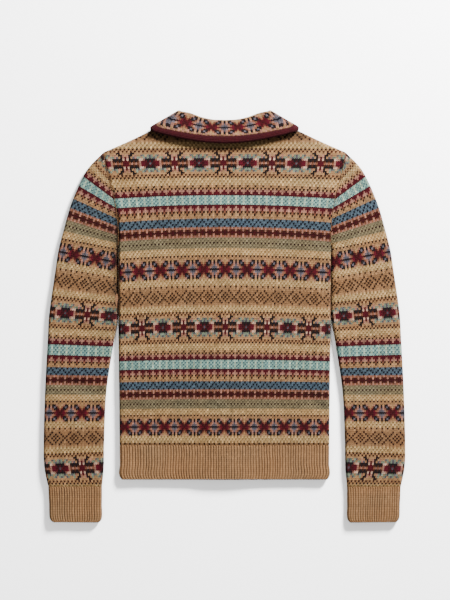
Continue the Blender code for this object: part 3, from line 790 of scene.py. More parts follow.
def front_grids(fine, sign, seed):
    across, down, line, relief, place, wa, wd = stitch_grid(
        FRONT_START, MOST_STITCHES, FIRST_ROW, LAST_ROW, fine)
    points = body_place(across - 0.5, down, line, -1, sign)
    yield points, relief - STITCH_TOP, place, charted(PERIOD, wa, wd, seed), sign < 0


# ---- sleeves -------------------------------------------------------------------------------------
def fold_line(side):
    """A sleeve's outer or inner fold, with the armhole above it, as places against height."""
    t = np.linspace(0, 1, 240)
    x = read(SLEEVE, side + " x", "t", t)
    y = read(SLEEVE, side + " y", "t", t)
    if side == "inner":
        above = np.linspace(UNDERARM + 0.0004, SHOULDER_TIP, 120)
        x = np.concatenate([x, side_x(above) + 2 * SEAM])
        y = np.concatenate([y, above])
    return x, y


OUTER_FOLD = fold_line("outer")
INNER_FOLD = fold_line("inner")


def tube_length(width, turned):
    """Way over the cloth across one layer of a flattened tube."""
    radius = LIE / 2
    narrow = radius * np.arccos(np.clip(1 - width / radius, -1, 1))
    return np.where(width < radius, narrow, width + (1 + turned) * OVER * radius)


def tube_place(start, end, along, turned, sign, way):
    """Points on one layer of a flattened tube; along is the way over the cloth from its outer fold."""
    radius = LIE / 2
    width = np.linalg.norm(end - start, axis=-1)
    heading = (end - start) / np.maximum(width, 1e-9)[..., None]
    length = tube_length(width, turned)
    along = np.minimum(along, length)
    rest = length - along
    quarter = QUARTER * radius

    def rounded(way):
        turn = radius * (1 - np.cos(np.minimum(way, quarter) / radius))
        return np.where(way < quarter, turn, way - OVER * radius)

    near = rounded(along)
    tail = mix(rest, rounded(rest), turned)
    off = np.where((along < length / 2) | (width < radius), near, width - tail)
    plan = start + heading * off[..., None]
    z = radius + radius * np.sin(np.minimum(along, quarter) / radius)
    z = z - turned * radius * (1 - np.sin(np.minimum(rest, quarter) / radius))
    x = sign * plan[..., 0]
    if way > 0:
        z = z + (upper(x, plan[..., 1]) - LIE) * ease((z - radius) / (radius - WALL))
    else:
        z = LIE - z
    return xyz(x, plan[..., 1], z)


def sleeve_row(row):
    """Both ends of a sleeve row and how far its inner end is turned."""
    row = np.clip(row, SLEEVE_ROWS["n"][0], SLEEVE_ROWS["n"][-1])
    outer_y = read(SLEEVE_ROWS, "outer", "n", row)
    inner_y = read(SLEEVE_ROWS, "inner", "n", row)
    start = xyz(np.interp(outer_y, OUTER_FOLD[1], OUTER_FOLD[0]), outer_y)
    end = xyz(np.interp(inner_y, INNER_FOLD[1], INNER_FOLD[0]), inner_y)
    return start, end, ease((row - PIT_ROW + 2.0) / 2.0)


def sleeve_place(stitch, row, line, sign, way):
    along = stitch * SLEEVE_STITCH
    start, end, turned = sleeve_row(line)
    clipped = along > tube_length(np.linalg.norm(end - start, axis=-1), turned)
    start, end, turned = sleeve_row(np.where(clipped, line, row))
    return tube_place(start, end, along, turned, sign, way)


def on_floor(points):
    """1 for points near the floor, where relief has no room outwards, and 0 above them."""
    return ease((0.0030 - points[..., 2]) / 0.002)


def sleeve_grids(fine, sign, seed):
    for way in (1, -1):
        across, down, line, relief, place, wa, wd = stitch_grid(
            0.0, SLEEVE_STITCHES, SLEEVE_TOP_ROW, SLEEVE_LAST_ROW, fine)
        points = sleeve_place(across, down, line, sign, way)
        if way < 0:
            relief = relief - STITCH_TOP * on_floor(points)
        colours = charted(PERIOD, (wa + SLEEVE_SHIFT[sign]) * way, wd, seed + way)
        # The sleeves' colours are darkened by painted shade beside the body.
        yield points, relief, place, colours * painted_sleeve_shade(points), sign * way < 0


# ---- ribbing -------------------------------------------------------------------------------------
# Across one rib: the purl hollow, the flank, a leg, the middle, a leg, the flank.
RIB_AT = np.array((0.0, 0.13, 0.33, 0.50, 0.67, 0.87))
RIB_RELIEF = np.array((-0.00085, -0.00030, 0.00042, 0.00014, 0.00042, -0.00030))
# Painted shade across one rib: darker in the purl hollow and on the flanks, lighter on the legs.
RIB_PAINTED_SHADE = np.array((0.42, 0.88, 1.08, 1.08, 0.88, 0.42))
RIB_LEAN = np.array((0.0, 0.1, -0.1, 0.35, -0.1, 0.1))
RIB_TOP = RIB_RELIEF.max()
PER_RIB = len(RIB_AT)


def rib_grid(count, length, seed, fine):
    """Shares across and along a strip of uneven ribs, with relief, stitch places and colours."""
    rows = max(2, round(length / RIB_ROW))
    widths = 1 + np.random.default_rng(seed).uniform(-0.13, 0.13, count)
    ends = np.concatenate([[0], np.cumsum(widths)]) / widths.sum()
    at = np.append((ends[:-1, None] + RIB_AT[None, :] * np.diff(ends)[:, None]).reshape(-1), 1.0)
    if not fine:
        at = at[::18] if (len(at) - 1) % 18 == 0 else np.linspace(0, 1, max(4, count // 3))
        lines = np.linspace(0, rows, max(3, rows // 4))
        across = at[None, :] + np.zeros((len(lines), 1))
        down = lines[:, None] / rows + np.zeros_like(across)
        place = xyz(across * count, down * rows)
        return across, down, np.zeros_like(across), place, np.zeros((len(lines) - 1, len(at) - 1, 3))
    kind = np.append(np.tile(np.arange(PER_RIB), count), 0)
    lines = np.arange(0, 2 * rows + 1) / 2
    lean = RIB_LEAN[kind][None, :] * np.sin(np.pi * np.clip(lines / rows, 0, 1))[:, None] ** 0.3
    down = np.clip((lines[:, None] + lean) / rows, 0, 1)
    down[0] = 0.0
    down[-1] = 1.0
    wave = 0.18 * swell(at * count, 0 * at, 9, seed + 1)
    drift = swell(lines[:, None] * 1.0, at[None, :] * count * 0.6, 11, seed + 2)
    across = at[None, :] + 0.10 / count * drift * np.sin(np.pi * at[None, :]) ** 0.25
    bulge = np.where((np.arange(len(lines)) % 2 == 0)[:, None], -0.00010, 0.00006)
    relief = RIB_RELIEF[kind][None, :] * (1 + 0.5 * wave[None, :] + 0.10 * drift)
    relief = relief + bulge * (kind > 1)[None, :] * (kind < 5)[None, :]
    place = xyz(2 * (np.arange(len(at)) / PER_RIB)[None, :] - 0.5 + 0 * down, lines[:, None] + 0 * down)
    rib = np.minimum(np.arange(len(at) - 1) // PER_RIB, count - 1)
    wa = rib[None, :] + np.zeros((len(lines) - 1, 1), int)
    wd = (np.arange(len(lines) - 1) // 2)[:, None] + 0 * wa
    # Painted shade in the rib hollows, stronger on some ribs than on others.
    by_rib = np.random.default_rng(seed + 4).uniform(0.35, 1.25, count)[rib]
    painted_hollow_shade = RIB_PAINTED_SHADE[np.arange(len(at) - 1) % PER_RIB] ** by_rib
    colours = one_colour(CAMEL, wa, wd, seed + 3, 0.06) * painted_hollow_shade[None, :, None]
    return across, down, relief, place, colours


def lip(points, relief, place, colours, inward, deep=0.0015):
    """Turn a strip's last line over its end, as a knitted edge turns: two more lines."""
    last = points[-1]
    step = np.asarray(inward) * deep
    rounder = last + step * 0.45
    rounder[:, 1] -= 0.0004
    points = np.concatenate([points, [rounder, last + step]])
    relief = np.concatenate([relief, relief[-1:] * 0.6, relief[-1:] * 0])
    place = np.concatenate([place, [place[-1] + (0, 0.3), place[-1] + (0, 0.6)]])
    return points, relief, place, np.concatenate([colours, colours[-1:], colours[-1:]])


def hem_place(across, down, way, sign, low):
    """A hem's points: the whole back, or one front from its band to the side seam."""
    y = mix(HEM_TOP - SEAM, HEM_END, down)
    half = SIDE["x"][0] - read(HEM_PULL, "in", "y", y)
    full = half + OVER * SIDE_RADIUS
    reach = mix(-full if way > 0 else low, full, across)
    bend = np.clip((np.abs(reach) - half + SIDE_RADIUS) / SIDE_RADIUS, 0, QUARTER)
    bent = half - SIDE_RADIUS + SIDE_RADIUS * np.sin(bend)
    x = np.sign(reach) * np.where(bend > 0, bent, np.abs(reach))
    fall = SIDE_RADIUS * (1 - np.cos(bend))
    if way > 0:
        return xyz(x, y, upper(x, y) - fall)
    return xyz(sign * x, y, lower(sign * x, y) + fall)


def hem_grids(fine, way, sign, count, seed):
    across, down, relief, place, colours = rib_grid(count, HEM_TOP - HEM_END, seed, fine)
    points = hem_place(across, down, way, sign, BAND_WIDTH / 2 + SEAM)
    if way < 0:
        relief = relief - RIB_TOP
    if fine:
        points, relief, place, colours = lip(points, relief, place, colours, (0, 0, -way))
    yield points, relief, place, colours, sign * way > 0


def cuff_grids(fine, sign, seed):
    across, down, relief, place, colours = rib_grid(CUFF_RIBS, CUFF_LENGTH, seed, fine)
    across[:, -1] = 1.0
    across[:, 0] = 0.0
    start, end = (xyz(read(CUFF, side + " x", "t", down), read(CUFF, side + " y", "t", down))
                  for side in ("outer", "inner"))
    length = np.linalg.norm(end - start, axis=-1) + 2 * OVER * LIE / 2
    along = across * 2
    top = tube_place(start, end, np.minimum(along, 1) * length, np.ones_like(down), sign, 1)
    under = tube_place(start, end, np.minimum(2 - along, 1) * length, np.ones_like(down), sign, -1)
    points = np.where((along <= 1)[..., None], top, under)
    points[:, -1] = points[:, 0]
    relief = relief - RIB_TOP * on_floor(points)
    relief[:, -1] = relief[:, 0]
    if fine:
        middle = points[..., 2:3].mean(1, keepdims=True)
        inward = np.sign(middle - points[-1:, :, 2:3])[0] * np.array((0.0, 0.0, 1.0))
        points, relief, place, colours = lip(points, relief, place, colours, inward * 0.6)
        points[-2:, -1] = points[-2:, 0]
    yield points, relief, place, colours, sign < 0


def band_grids(fine, lift, seed):
    across, down, relief, place, colours = rib_grid(BAND_RIBS, BREAK - SEAM - HEM_END, seed, fine)
    x = mix(-BAND_WIDTH / 2, BAND_WIDTH / 2, across)
    points = xyz(x, mix(BREAK - SEAM, HEM_END, down), np.full_like(x, lift))
    yield points, relief - RIB_TOP, place, colours


# ---- collar --------------------------------------------------------------------------------------
def collar_at(place):
    """Plan points, directions and the fall's offset at signed places from the centre back."""
    side = np.where(place < 0, -1.0, 1.0)
    p = np.abs(place)
    roll, foot, edge = (
        xyz(side * read(COLLAR, key + " x", "place", p), read(COLLAR, key + " y", "place", p),
            np.full_like(p, MID_COLLAR)) for key in ("roll", "foot", "edge"))
    out = edge - roll
    out = out / np.linalg.norm(out, axis=-1, keepdims=True)
    degrees = collar_turn(p)
    turn = np.radians(degrees)[..., None]
    aside = xyz(-out[..., 1] * side, out[..., 0] * side, np.zeros_like(p))
    layer = aside * np.sin(turn) + np.array((0.0, 0.0, 1.0)) * np.cos(turn)
    fall = np.interp(degrees, (0, 90, 180), (FALL_TOP, FALL_SIDE, FALL_UNDER))
    return roll, foot, edge, out, layer, fall


def collar_turn(place):
    """Degrees by which the collar's layers have turned over: 0 on the back, 180 on the fronts."""
    return np.interp(np.abs(place), COLLAR["place"], COLLAR["turn"])


def collar_stitches(on_border):
    """Places along the collar against stitches from the centre, along the border or the roll."""
    places = np.linspace(0, 14, 561)
    roll, _, edge, out, layer, fall = collar_at(places)
    run = run_along((edge - out * TRIM_WIDTH if on_border else roll) + layer * fall[:, None])
    return places, run / run[-1] * COLLAR_STITCHES


def flare(place):
    """How far the collar's edge stands off the back at its middle."""
    return FLARE * ease((7.5 - np.abs(place)) / 6.0)


ON_ROLL = collar_stitches(False)
ON_BORDER = collar_stitches(True)


def collar_place(stitch, row):
    """Points of the collar's outer face, row 0 at the border, over the roll and down the stand."""
    sign = np.where(stitch < 0, -1.0, 1.0)
    count = np.minimum(np.abs(stitch), COLLAR_STITCHES)
    at_roll = np.interp(count, ON_ROLL[1], ON_ROLL[0])
    at_border = np.interp(count, ON_BORDER[1], ON_BORDER[0])
    rows = np.interp(at_border, COLLAR["place"], COLLAR_FALL_ROWS)
    row = np.maximum(row, 0.0)
    share = np.clip(1 - row / rows, 0, 1)
    place = mix(at_roll, at_border, share) * sign
    roll, foot, edge, out, layer, fall = collar_at(place)
    end = edge - out * (TRIM_WIDTH + SEAM)
    over = WALL / 2
    beyond = np.maximum(row - rows, 0) * COLLAR_ROW
    radius = (fall - STAND_OFF) / 2 + over
    angle = np.minimum(beyond / radius, math.pi)
    middle = (fall + STAND_OFF) / 2
    rest = np.maximum(beyond - math.pi * radius, 0)
    drop = foot - roll
    length = np.linalg.norm(drop, axis=-1)
    down = np.clip(rest / length, 0, 1)
    off = fall + over + flare(place) * share ** 2
    flat = mix(roll, end, share[..., None]) + layer * off[..., None]
    bent = (roll - out * (radius * np.sin(angle))[..., None]
            + layer * (middle + radius * np.cos(angle))[..., None])
    stand = roll + drop * down[..., None] + layer * (STAND_OFF - over)
    points = np.where((beyond > 0)[..., None], bent, flat)
    return np.where((rest > 0)[..., None], stand, points)


# Rows of the collar's inner face, closer where it bends.
COLLAR_LINES = np.array((0, 3, 6, 9, 11, 12.5, 14, 16, 18, 22, 28, 36.0))


def collar_grids(fine):
    across, down, _, relief, place, wa, wd = stitch_grid(
        6.5 - COLLAR_STITCHES, 6.5 + COLLAR_STITCHES, 0, COLLAR_LINES[-1], fine)
    if not fine:
        across = across[0][None, :] + np.zeros((len(COLLAR_LINES), 1))
        down = COLLAR_LINES[:, None] + 0 * across
        relief = 0 * across
        place = xyz(across, down)
        wa = wd = np.zeros((len(COLLAR_LINES) - 1, across.shape[1] - 1), int)
    points = collar_place(across - 6.5, down)
    relief = relief - STITCH_TOP * ease((0.0020 - points[..., 2]) / 0.001)
    yield points, relief, place, charted(COLLAR_PATTERN, wa, wd, 31, wraps=False)


def border_piece(name, material):
    """The dark border: a flattened knitted roll along the collar's edge, rounded off at its ends."""
    places = ON_BORDER[0]
    _, _, edge, out, layer, fall = collar_at(places)
    run = run_along(edge - out * TRIM_WIDTH / 2 + layer * fall[:, None])
    rows = int(round(run[-1] / TRIM_STITCH))
    quarters = np.arange(PER_STITCH * TRIM_COLUMNS + 1)
    across = quarters / PER_STITCH
    lines = np.arange(-rows, rows + 1)[:, None] * 1.0
    down = lines + LEAN * np.abs(2 * (across % 1.0) - 1)[None, :] - LEAN / 2
    along = np.clip(np.abs(down) / rows, 0, 1) * run[-1]
    place = np.interp(along, run, places) * np.where(down < 0, -1, 1)
    _, _, edge, out, layer, fall = collar_at(place)
    half = np.interp(collar_turn(place), (0, 90, 180), TRIM_HALF)
    left = np.clip((run[-1] - along) / TRIM_END, 0, 1)
    close = np.where(np.abs(lines) >= rows, 0.0, np.maximum(np.sqrt(1 - (1 - left) ** 2), 0.02))
    angle = 2 * math.pi * (across / TRIM_COLUMNS)[None, :]
    a = np.sign(np.cos(angle)) * np.abs(np.cos(angle)) ** 0.75
    b = np.sign(np.sin(angle)) * np.abs(np.sin(angle)) ** 0.9
    wide = TRIM_WIDTH / 2 + TRIM_REACH / 2
    middle = edge - out * wide + layer * (fall + flare(place))[..., None]
    points = middle + out * (a * wide * close)[..., None] + layer * (b * half * close)[..., None]
    points[:, -1] = points[:, 0]
    relief = STITCH_RELIEF[quarters % PER_STITCH][None, :] * 0.75 * left
    relief[:, -1] = relief[:, 0]
    relief = relief - STITCH_TOP * 0.75 * ease((0.0022 - points[..., 2]) / 0.001)
    wa = (quarters[:-1] // PER_STITCH)[None, :] + np.zeros((2 * rows, 1), int)
    wd = np.arange(2 * rows)[:, None] + 0 * wa
    skin = Skin([(points, relief, xyz(across[None, :] + 0 * down, lines + 0 * down),
                  one_colour(MAROON, wa, wd, 71, 0.10), True)])
    points, lift, parts = skin.join()
    return mesh_piece(name, points + point_normals(points, parts) * lift[:, None], parts, material)


# ---- linking stitches along the seams ------------------------------------------------------------
def stitch_tree():
    """Geometry nodes: small plump stitches at even steps along a path, each a little different."""
    tree = bpy.data.node_groups.new("linking_stitches", "GeometryNodeTree")
    for label, kind in (("Path", "Geometry"), ("Spacing", "Float"), ("Stitch Length", "Float"),
                        ("Stitch Width", "Float"), ("Slant", "Float"), ("Seed", "Int"),
                        ("Material", "Material")):
        tree.interface.new_socket(name=label, in_out="INPUT", socket_type="NodeSocket" + kind)
    tree.interface.new_socket(name="Stitches", in_out="OUTPUT", socket_type="NodeSocketGeometry")
    start = tree.nodes.new("NodeGroupInput").outputs

    def node(kind, values, **settings):
        return add_node(tree, kind, values, **settings)

    curve = node("GeometryNodeMeshToCurve", {"Mesh": start["Path"]})["Curve"]
    steps = node("GeometryNodeCurveToPoints", {"Curve": curve, "Length": start["Spacing"]},
                 mode="LENGTH")
    ball = node("GeometryNodeMeshUVSphere", {"Segments": 6, "Rings": 4, "Radius": 0.5})["Mesh"]
    size = node("ShaderNodeCombineXYZ", {
        "X": start["Stitch Width"], "Y": start["Stitch Width"], "Z": start["Stitch Length"]})["Vector"]
    shaped = node("GeometryNodeTransform", {"Geometry": ball, "Scale": size})["Geometry"]
    lean = node("ShaderNodeCombineXYZ", {"X": start["Slant"], "Y": start["Slant"], "Z": 0.0})["Vector"]
    leaning = node("FunctionNodeRotateRotation", {
        "Rotation": steps["Rotation"],
        "Rotate By": node("FunctionNodeEulerToRotation", {"Euler": lean})["Rotation"]},
        rotation_space="LOCAL")["Rotation"]
    # The third and fourth inputs and the second output carry a single number.
    uneven = node("FunctionNodeRandomValue", {2: 0.82, 3: 1.15, "Seed": start["Seed"]},
                  data_type="FLOAT")[1]
    laid = node("GeometryNodeInstanceOnPoints", {
        "Points": steps["Points"], "Instance": shaped, "Rotation": leaning,
        "Scale": uneven})["Instances"]
    real = node("GeometryNodeRealizeInstances", {"Geometry": laid})["Geometry"]
    soft = node("GeometryNodeSetShadeSmooth", {"Geometry": real})["Geometry"]
    done = node("GeometryNodeSetMaterial", {
        "Geometry": soft, "Material": start["Material"]})["Geometry"]
    end = tree.nodes.new("NodeGroupOutput")
    tree.links.new(done, end.inputs["Stitches"])
    return tree


STITCH_TREE = stitch_tree()


def stitch_line(name, material, seed, spacing, length, width, slant, *paths):
    """Stitches along paths (each a run of points, and whether it closes), as one plain mesh."""
    points = []
    edges = []
    for path, closed in paths:
        first = len(points)
        points += path.tolist()
        edges += [(i, i + 1) for i in range(first, len(points) - 1)]
        if closed:
            edges.append((len(points) - 1, first))
    mesh = bpy.data.meshes.new(name)
    mesh.from_pydata(points, edges, [])
    piece = placed(name, mesh)
    maker = piece.modifiers.new("stitches", "NODES")
    maker.node_group = STITCH_TREE
    sockets = {item.name: item.identifier for item in STITCH_TREE.interface.items_tree}
    for label, value in (("Spacing", spacing), ("Stitch Length", length), ("Stitch Width", width),
                         ("Slant", slant), ("Seed", seed), ("Material", material)):
        maker[sockets[label]] = value
    piece.update_tag()
    graph = bpy.context.evaluated_depsgraph_get()
    made = bpy.data.meshes.new_from_object(piece.evaluated_get(graph))
    piece.modifiers.clear()
    piece.data = made
    made.name = name
    return piece


def armhole_path(sign, way):
    y = np.linspace(UNDERARM + 0.004, SHOULDER_TIP - 0.006, 60)
    x = side_x(y) + SEAM
    return xyz(sign * x, y, upper(x, y) - 0.0001 if way > 0 else lower(x, y) + 0.0004), False


def hem_path(low, high, way):
    x = np.linspace(low, high, 90)
    y = HEM_TOP - SEAM / 2 + 0 * x
    return xyz(x, y, upper(x, y) + 0.0001 if way > 0 else lower(x, y) + 0.0004), False


def cuff_path(sign):
    over = np.linspace(0.0, 36.0, 73)
    end = np.full(over.shape, SLEEVE_LAST_ROW)
    loop = np.concatenate([sleeve_place(over, end, end, sign, 1),
                           sleeve_place(over[::-1], end, end, sign, -1)])
    keep = np.concatenate([[True], np.linalg.norm(np.diff(loop, axis=0), axis=1) > 1e-5])
    loop = loop[keep][:-1]
    loop[:, 1] -= SEAM / 2
    loop[:, 2] = np.maximum(loop[:, 2] + np.where(loop[:, 2] > LIE / 2, 0.0001, -0.0001), 0.0004)
    return loop, True


def border_path():
    places = np.linspace(-13.6, 13.6, 500)
    _, _, edge, out, layer, fall = collar_at(places)
    height = fall + flare(places) + WALL / 2 + 0.0002
    line = edge - out * (TRIM_WIDTH + TRIM_REACH + 0.0004) + layer * height[:, None]
    line[:, 2] = np.maximum(line[:, 2], 0.0004)
    return line, False


def buttonhole_path(y):
    angle = np.linspace(0, 2 * math.pi, 41)[:-1]
    wide, high = BUTTONHOLE
    return xyz(wide * np.cos(angle), y + high * np.sin(angle),
               np.full(angle.shape, RIGHT_LIFT - 0.0002)), True


# ---- buttons -------------------------------------------------------------------------------------
HOLES = tuple((0.0018 * a, 0.0018 * b) for a, b in ((1, 1), (-1, 1), (-1, -1), (1, -1)))
HOLE_RADIUS = 0.00085
INSIDE_HOLE = 0.0008        # a face whose middle is nearer to a hole's middle is left out
# A button's section from its middle outwards: radius, and heights of its face and back.
TURNED = {
    "radius": (0.0046, 0.0058, 0.0066, 0.0086, 0.0092, BUTTON_RADIUS),
    "face": (0.0008, 0.0006, 0.0, 0.0, 0.0003, 0.0010),
    "back": (BUTTON_THICK, BUTTON_THICK, BUTTON_THICK, BUTTON_THICK, 0.0022, 0.0017),
}


def circle(x, y, radius, count):
    angle = np.arange(count) * 2 * math.pi / count
    return [mathutils.Vector((x + radius * math.cos(a), y + radius * math.sin(a))) for a in angle]


def button_piece(name, y, material):
    """A turned horn button, face down: a raised rim, a shallow dish and four holes."""
    loops = [circle(0, 0, r, 40) for r in TURNED["radius"][::-1]]
    loops += [circle(hx, hy, HOLE_RADIUS, 12) for hx, hy in HOLES]
    flat = []
    rims = []
    for loop in loops:
        first = len(flat)
        flat += loop
        rims.append([(first + i, first + (i + 1) % len(loop)) for i in range(len(loop))])
    points, _, faces, origin, _, _ = mathutils.geometry.delaunay_2d_cdt(
        flat, sum(rims, []), [], 1, 1e-7)
    index = {sources[0]: i for i, sources in enumerate(origin) if sources}
    places = np.array([tuple(point) for point in points])
    radius = np.hypot(places[:, 0], places[:, 1])
    count = len(places)
    everything = []
    for key in ("face", "back"):
        height = np.interp(radius, TURNED["radius"], TURNED[key])
        everything += [(px, y + py, z) for (px, py), z in zip(places, height)]
    cells = []
    for face in faces:
        middle = places[list(face)].mean(0)
        if min(math.hypot(middle[0] - hx, middle[1] - hy) for hx, hy in HOLES) > INSIDE_HOLE:
            cells += [list(face)[::-1], [i + count for i in face]]
    for rim in (rims[0], *rims[len(TURNED["radius"]):]):
        for start, end in rim:
            a, b = index[start], index[end]
            wall = [a, b, b + count, a + count]
            cells.append(wall if rim is rims[0] else wall[::-1])
    return plain_mesh(name, everything, cells, material)


def plain_mesh(name, points, faces, material):
    mesh = bpy.data.meshes.new(name)
    mesh.from_pydata([tuple(float(v) for v in point) for point in points], [], faces)
    mesh.validate()
    mesh.shade_smooth()
    mesh.materials.append(material)
    return placed(name, mesh)


def tube(path, radius, sides=8):
    """Points and faces of a capped tube along a path."""
    path = np.array(path, float)
    heading = np.gradient(path, axis=0)
    heading = heading / np.linalg.norm(heading, axis=1, keepdims=True)
    across = np.cross(heading, (0.31, -0.27, 0.91))
    across = across / np.linalg.norm(across, axis=1, keepdims=True)
    other = np.cross(heading, across)
    angle = np.arange(sides) * 2 * math.pi / sides
    rings = (path[:, None] + radius * (across[:, None] * np.cos(angle)[None, :, None]
                                       + other[:, None] * np.sin(angle)[None, :, None]))
    faces = []
    for r in range(len(path) - 1):
        a, b = r * sides, (r + 1) * sides
        faces += [[a + i, a + (i + 1) % sides, b + (i + 1) % sides, b + i] for i in range(sides)]
    faces.append(list(range(sides))[::-1])
    faces.append([(len(path) - 1) * sides + i for i in range(sides)])
    return rings.reshape(-1, 3), faces


def button_thread(name, material):
    """Crossed thread in each button's holes, and its wrapped shank to the band behind."""
    tubes = []
    t = np.linspace(0, 1, 11)
    for y in BUTTON_HEIGHTS:
        for (ax, ay), (bx, by) in ((HOLES[0], HOLES[2]), (HOLES[1], HOLES[3])):
            over = 0.0013 - 0.00085 * np.sin(math.pi * t) ** 0.3
            tubes.append(tube(xyz(ax + (bx - ax) * t, y + ay + (by - ay) * t, over), THREAD_RADIUS))
        tubes.append(tube([(0, y, 0.0020), (0, y, 0.0027), (0, y, 0.0036)], SHANK_RADIUS))
    points = []
    faces = []
    for ring, cells in tubes:
        faces += [[i + len(points) for i in cell] for cell in cells]
        points += list(ring)
    return plain_mesh(name, points, faces, material)


# ---- materials -----------------------------------------------------------------------------------
class Graph:
    """Short words for building a material's nodes."""

    def __init__(self, name):
        self.material = bpy.data.materials.new(name)
        self.material.use_nodes = True
        self.tree = self.material.node_tree

    def node(self, kind, values, output=0, **settings):
        return add_node(self.tree, kind, values, **settings)[output]

    def finish(self, values):
        feed(self.tree, self.tree.nodes["Principled BSDF"], values)
        return self.material

    def math(self, operation, *values):
        return self.node("ShaderNodeMath", dict(enumerate(values)), operation=operation)

    def times(self, a, b):
        return self.math("MULTIPLY", a, b)

    def place(self):
        return self.node("ShaderNodeTexCoord", {}, "Object")

    def noise(self, vector, scale, detail):
        values = {"Vector": vector, "Scale": scale, "Detail": detail}
        return self.node("ShaderNodeTexNoise", values, "Fac")

    def spread(self, value, low, high):
        values = {"Value": value, "To Min": low, "To Max": high}
        return self.node("ShaderNodeMapRange", values, "Result")

    def tone(self, colour, factor):
        """A colour with its value multiplied."""
        return self.node("ShaderNodeMix", {"Factor": 1.0, "A": colour, "B": factor}, "Result",
                         data_type="RGBA", blend_type="MULTIPLY")


def knitted(name, fuzz=0.02):
    """Knitted wool: the legs of each stitch in relief, plies across them, fibres and a soft haze, and
    painted shade between the legs and rows.
    """
    g = Graph(name)
    yarn = g.node("ShaderNodeAttribute", {}, "Color", attribute_name="yarn")
    uv = g.node("ShaderNodeUVMap", {}, uv_map="stitches")
    across = g.node("ShaderNodeSeparateXYZ", {0: uv}, "X")
    down = across.node.outputs["Y"]
    place = g.place()
    side = g.math("ABSOLUTE", g.math("SUBTRACT", g.times(g.math("FRACT", across), 2.0), 1.0))
    leg = g.math("POWER", g.math("SINE", g.times(side, math.pi)), 0.6)
    length = g.math("POWER", g.math("SINE", g.times(g.math("FRACT", down), math.pi)), 0.35)
    plies = g.math("SINE", g.times(g.math("ADD", g.times(down, 3.0), side), 6.28))
    stitch = g.times(leg, length)
    height = g.math("ADD", stitch, g.times(plies, 0.07))
    height = g.math("ADD", height, g.times(g.noise(place, 2600.0, 3.0), 0.35))
    heather = g.spread(g.noise(place, 420.0, 2.0), 0.86, 1.14)
    fleck = g.spread(g.noise(place, 1500.0, 1.0), 0.90, 1.10)
    # Painted shade: the colour darkened between a stitch's legs and at its row ends, where the hollows
    # lie in shade; heather and fleck are the yarn's own unevenness.
    tone = g.times(g.times(g.spread(stitch, 0.45, 1.12), heather), fleck)
    return g.finish({
        "Base Color": g.tone(yarn, tone),
        "Normal": g.node("ShaderNodeBump", {"Strength": 0.9, "Distance": 0.0006, "Height": height}),
        "Roughness": 0.92, "Specular IOR Level": 0.05,
        "Sheen Weight": fuzz, "Sheen Roughness": 0.55, "Sheen Tint": (1.0, 0.94, 0.86, 1.0)})


def plain_thread(name, rgb):
    """Plied thread, its colour uneven along its length."""
    g = Graph(name)
    base = g.node("ShaderNodeRGB", {})
    base.default_value = (*linear(rgb).tolist(), 1.0)
    uneven = g.spread(g.noise(g.place(), 900.0, 2.0), 0.72, 1.25)
    return g.finish({"Base Color": g.tone(base, uneven), "Roughness": 0.85, "Specular IOR Level": 0.1})


def horn(name):
    """Polished horn: dark brown with lighter, smoky streaks along it."""
    g = Graph(name)
    stretched = g.node("ShaderNodeMapping", {
        "Vector": g.place(), "Scale": (1.0, 0.28, 1.0), "Rotation": (0.0, 0.0, 0.5)})
    ramp = g.node("ShaderNodeValToRGB", {"Fac": g.noise(stretched, 330.0, 5.0)}, "Color")
    dark, light = ramp.node.color_ramp.elements
    dark.position, dark.color = 0.36, (0.018, 0.008, 0.004, 1.0)
    light.position, light.color = 0.72, (0.17, 0.085, 0.035, 1.0)
    return g.finish({
        "Base Color": ramp, "Roughness": 0.28, "Coat Weight": 0.25, "Coat Roughness": 0.12})


# ---- making the garment --------------------------------------------------------------------------
BANDED = (knitted("banded_wool"), linear((150, 112, 84)), "_knit", "banded_knit")
RIBBED = (knitted("camel_ribbing"), linear((140, 104, 72)), "_ribs", "camel_rib")
FRONTS = ["front_left_knit", "front_right_knit"]
BUTTONS = [f"button_{n}_horn" for n in range(1, 6)]

# Each cloth piece: its wool, its grids and what they need, and its cut as it is laid: width, length
# and flat area in metres, what it rests on and the sewing that goes with it.
CLOTH = {
    "back": (BANDED, back_grids, (), (0.405, 0.540), 0.1790, FRONTS, "armhole_stitches"),
    "front_left": (BANDED, front_grids, (-1, 12), (0.190, 0.540), 0.0780, ["floor"], None),
    "front_right": (BANDED, front_grids, (1, 13), (0.190, 0.540), 0.0780, ["floor"], None),
    "sleeve_left": (BANDED, sleeve_grids, (-1, 14), (0.236, 0.545), 0.0980, ["floor"], None),
    "sleeve_right": (BANDED, sleeve_grids, (1, 17), (0.236, 0.545), 0.0980, ["floor"], None),
    "hem_back": (RIBBED, hem_grids, (1, 1, BACK_RIBS, 21), (0.350, 0.056), 0.0190,
                 ["hem_front_left_ribs", "hem_front_right_ribs"], "hem_stitches"),
    "hem_front_left": (RIBBED, hem_grids, (-1, -1, FRONT_RIBS, 41), (0.160, 0.056), 0.0088,
                       ["floor"], None),
    "hem_front_right": (RIBBED, hem_grids, (-1, 1, FRONT_RIBS, 45), (0.160, 0.056), 0.0088,
                        ["floor"], None),
    "cuff_left": (RIBBED, cuff_grids, (-1, 51), (0.180, 0.059), 0.0104, ["floor"], "cuff_stitches"),
    "cuff_right": (RIBBED, cuff_grids, (1, 55), (0.180, 0.059), 0.0104, ["floor"], None),
    "band_left": (RIBBED, band_grids, (LEFT_LIFT, 61), (0.030, 0.415), 0.0124,
                  ["band_right_ribs"], None),
    "band_right": (RIBBED, band_grids, (RIGHT_LIFT, 65), (0.030, 0.415), 0.0124, BUTTONS,
                   "buttonhole_stitches"),
    "collar": (BANDED, collar_grids, (), (0.560, 0.100), 0.0345, ["back_knit", *FRONTS], None),
}
TRIM_CUT = ((0.760, 0.0113), 0.0085, ["collar_knit"], "border_stitches")

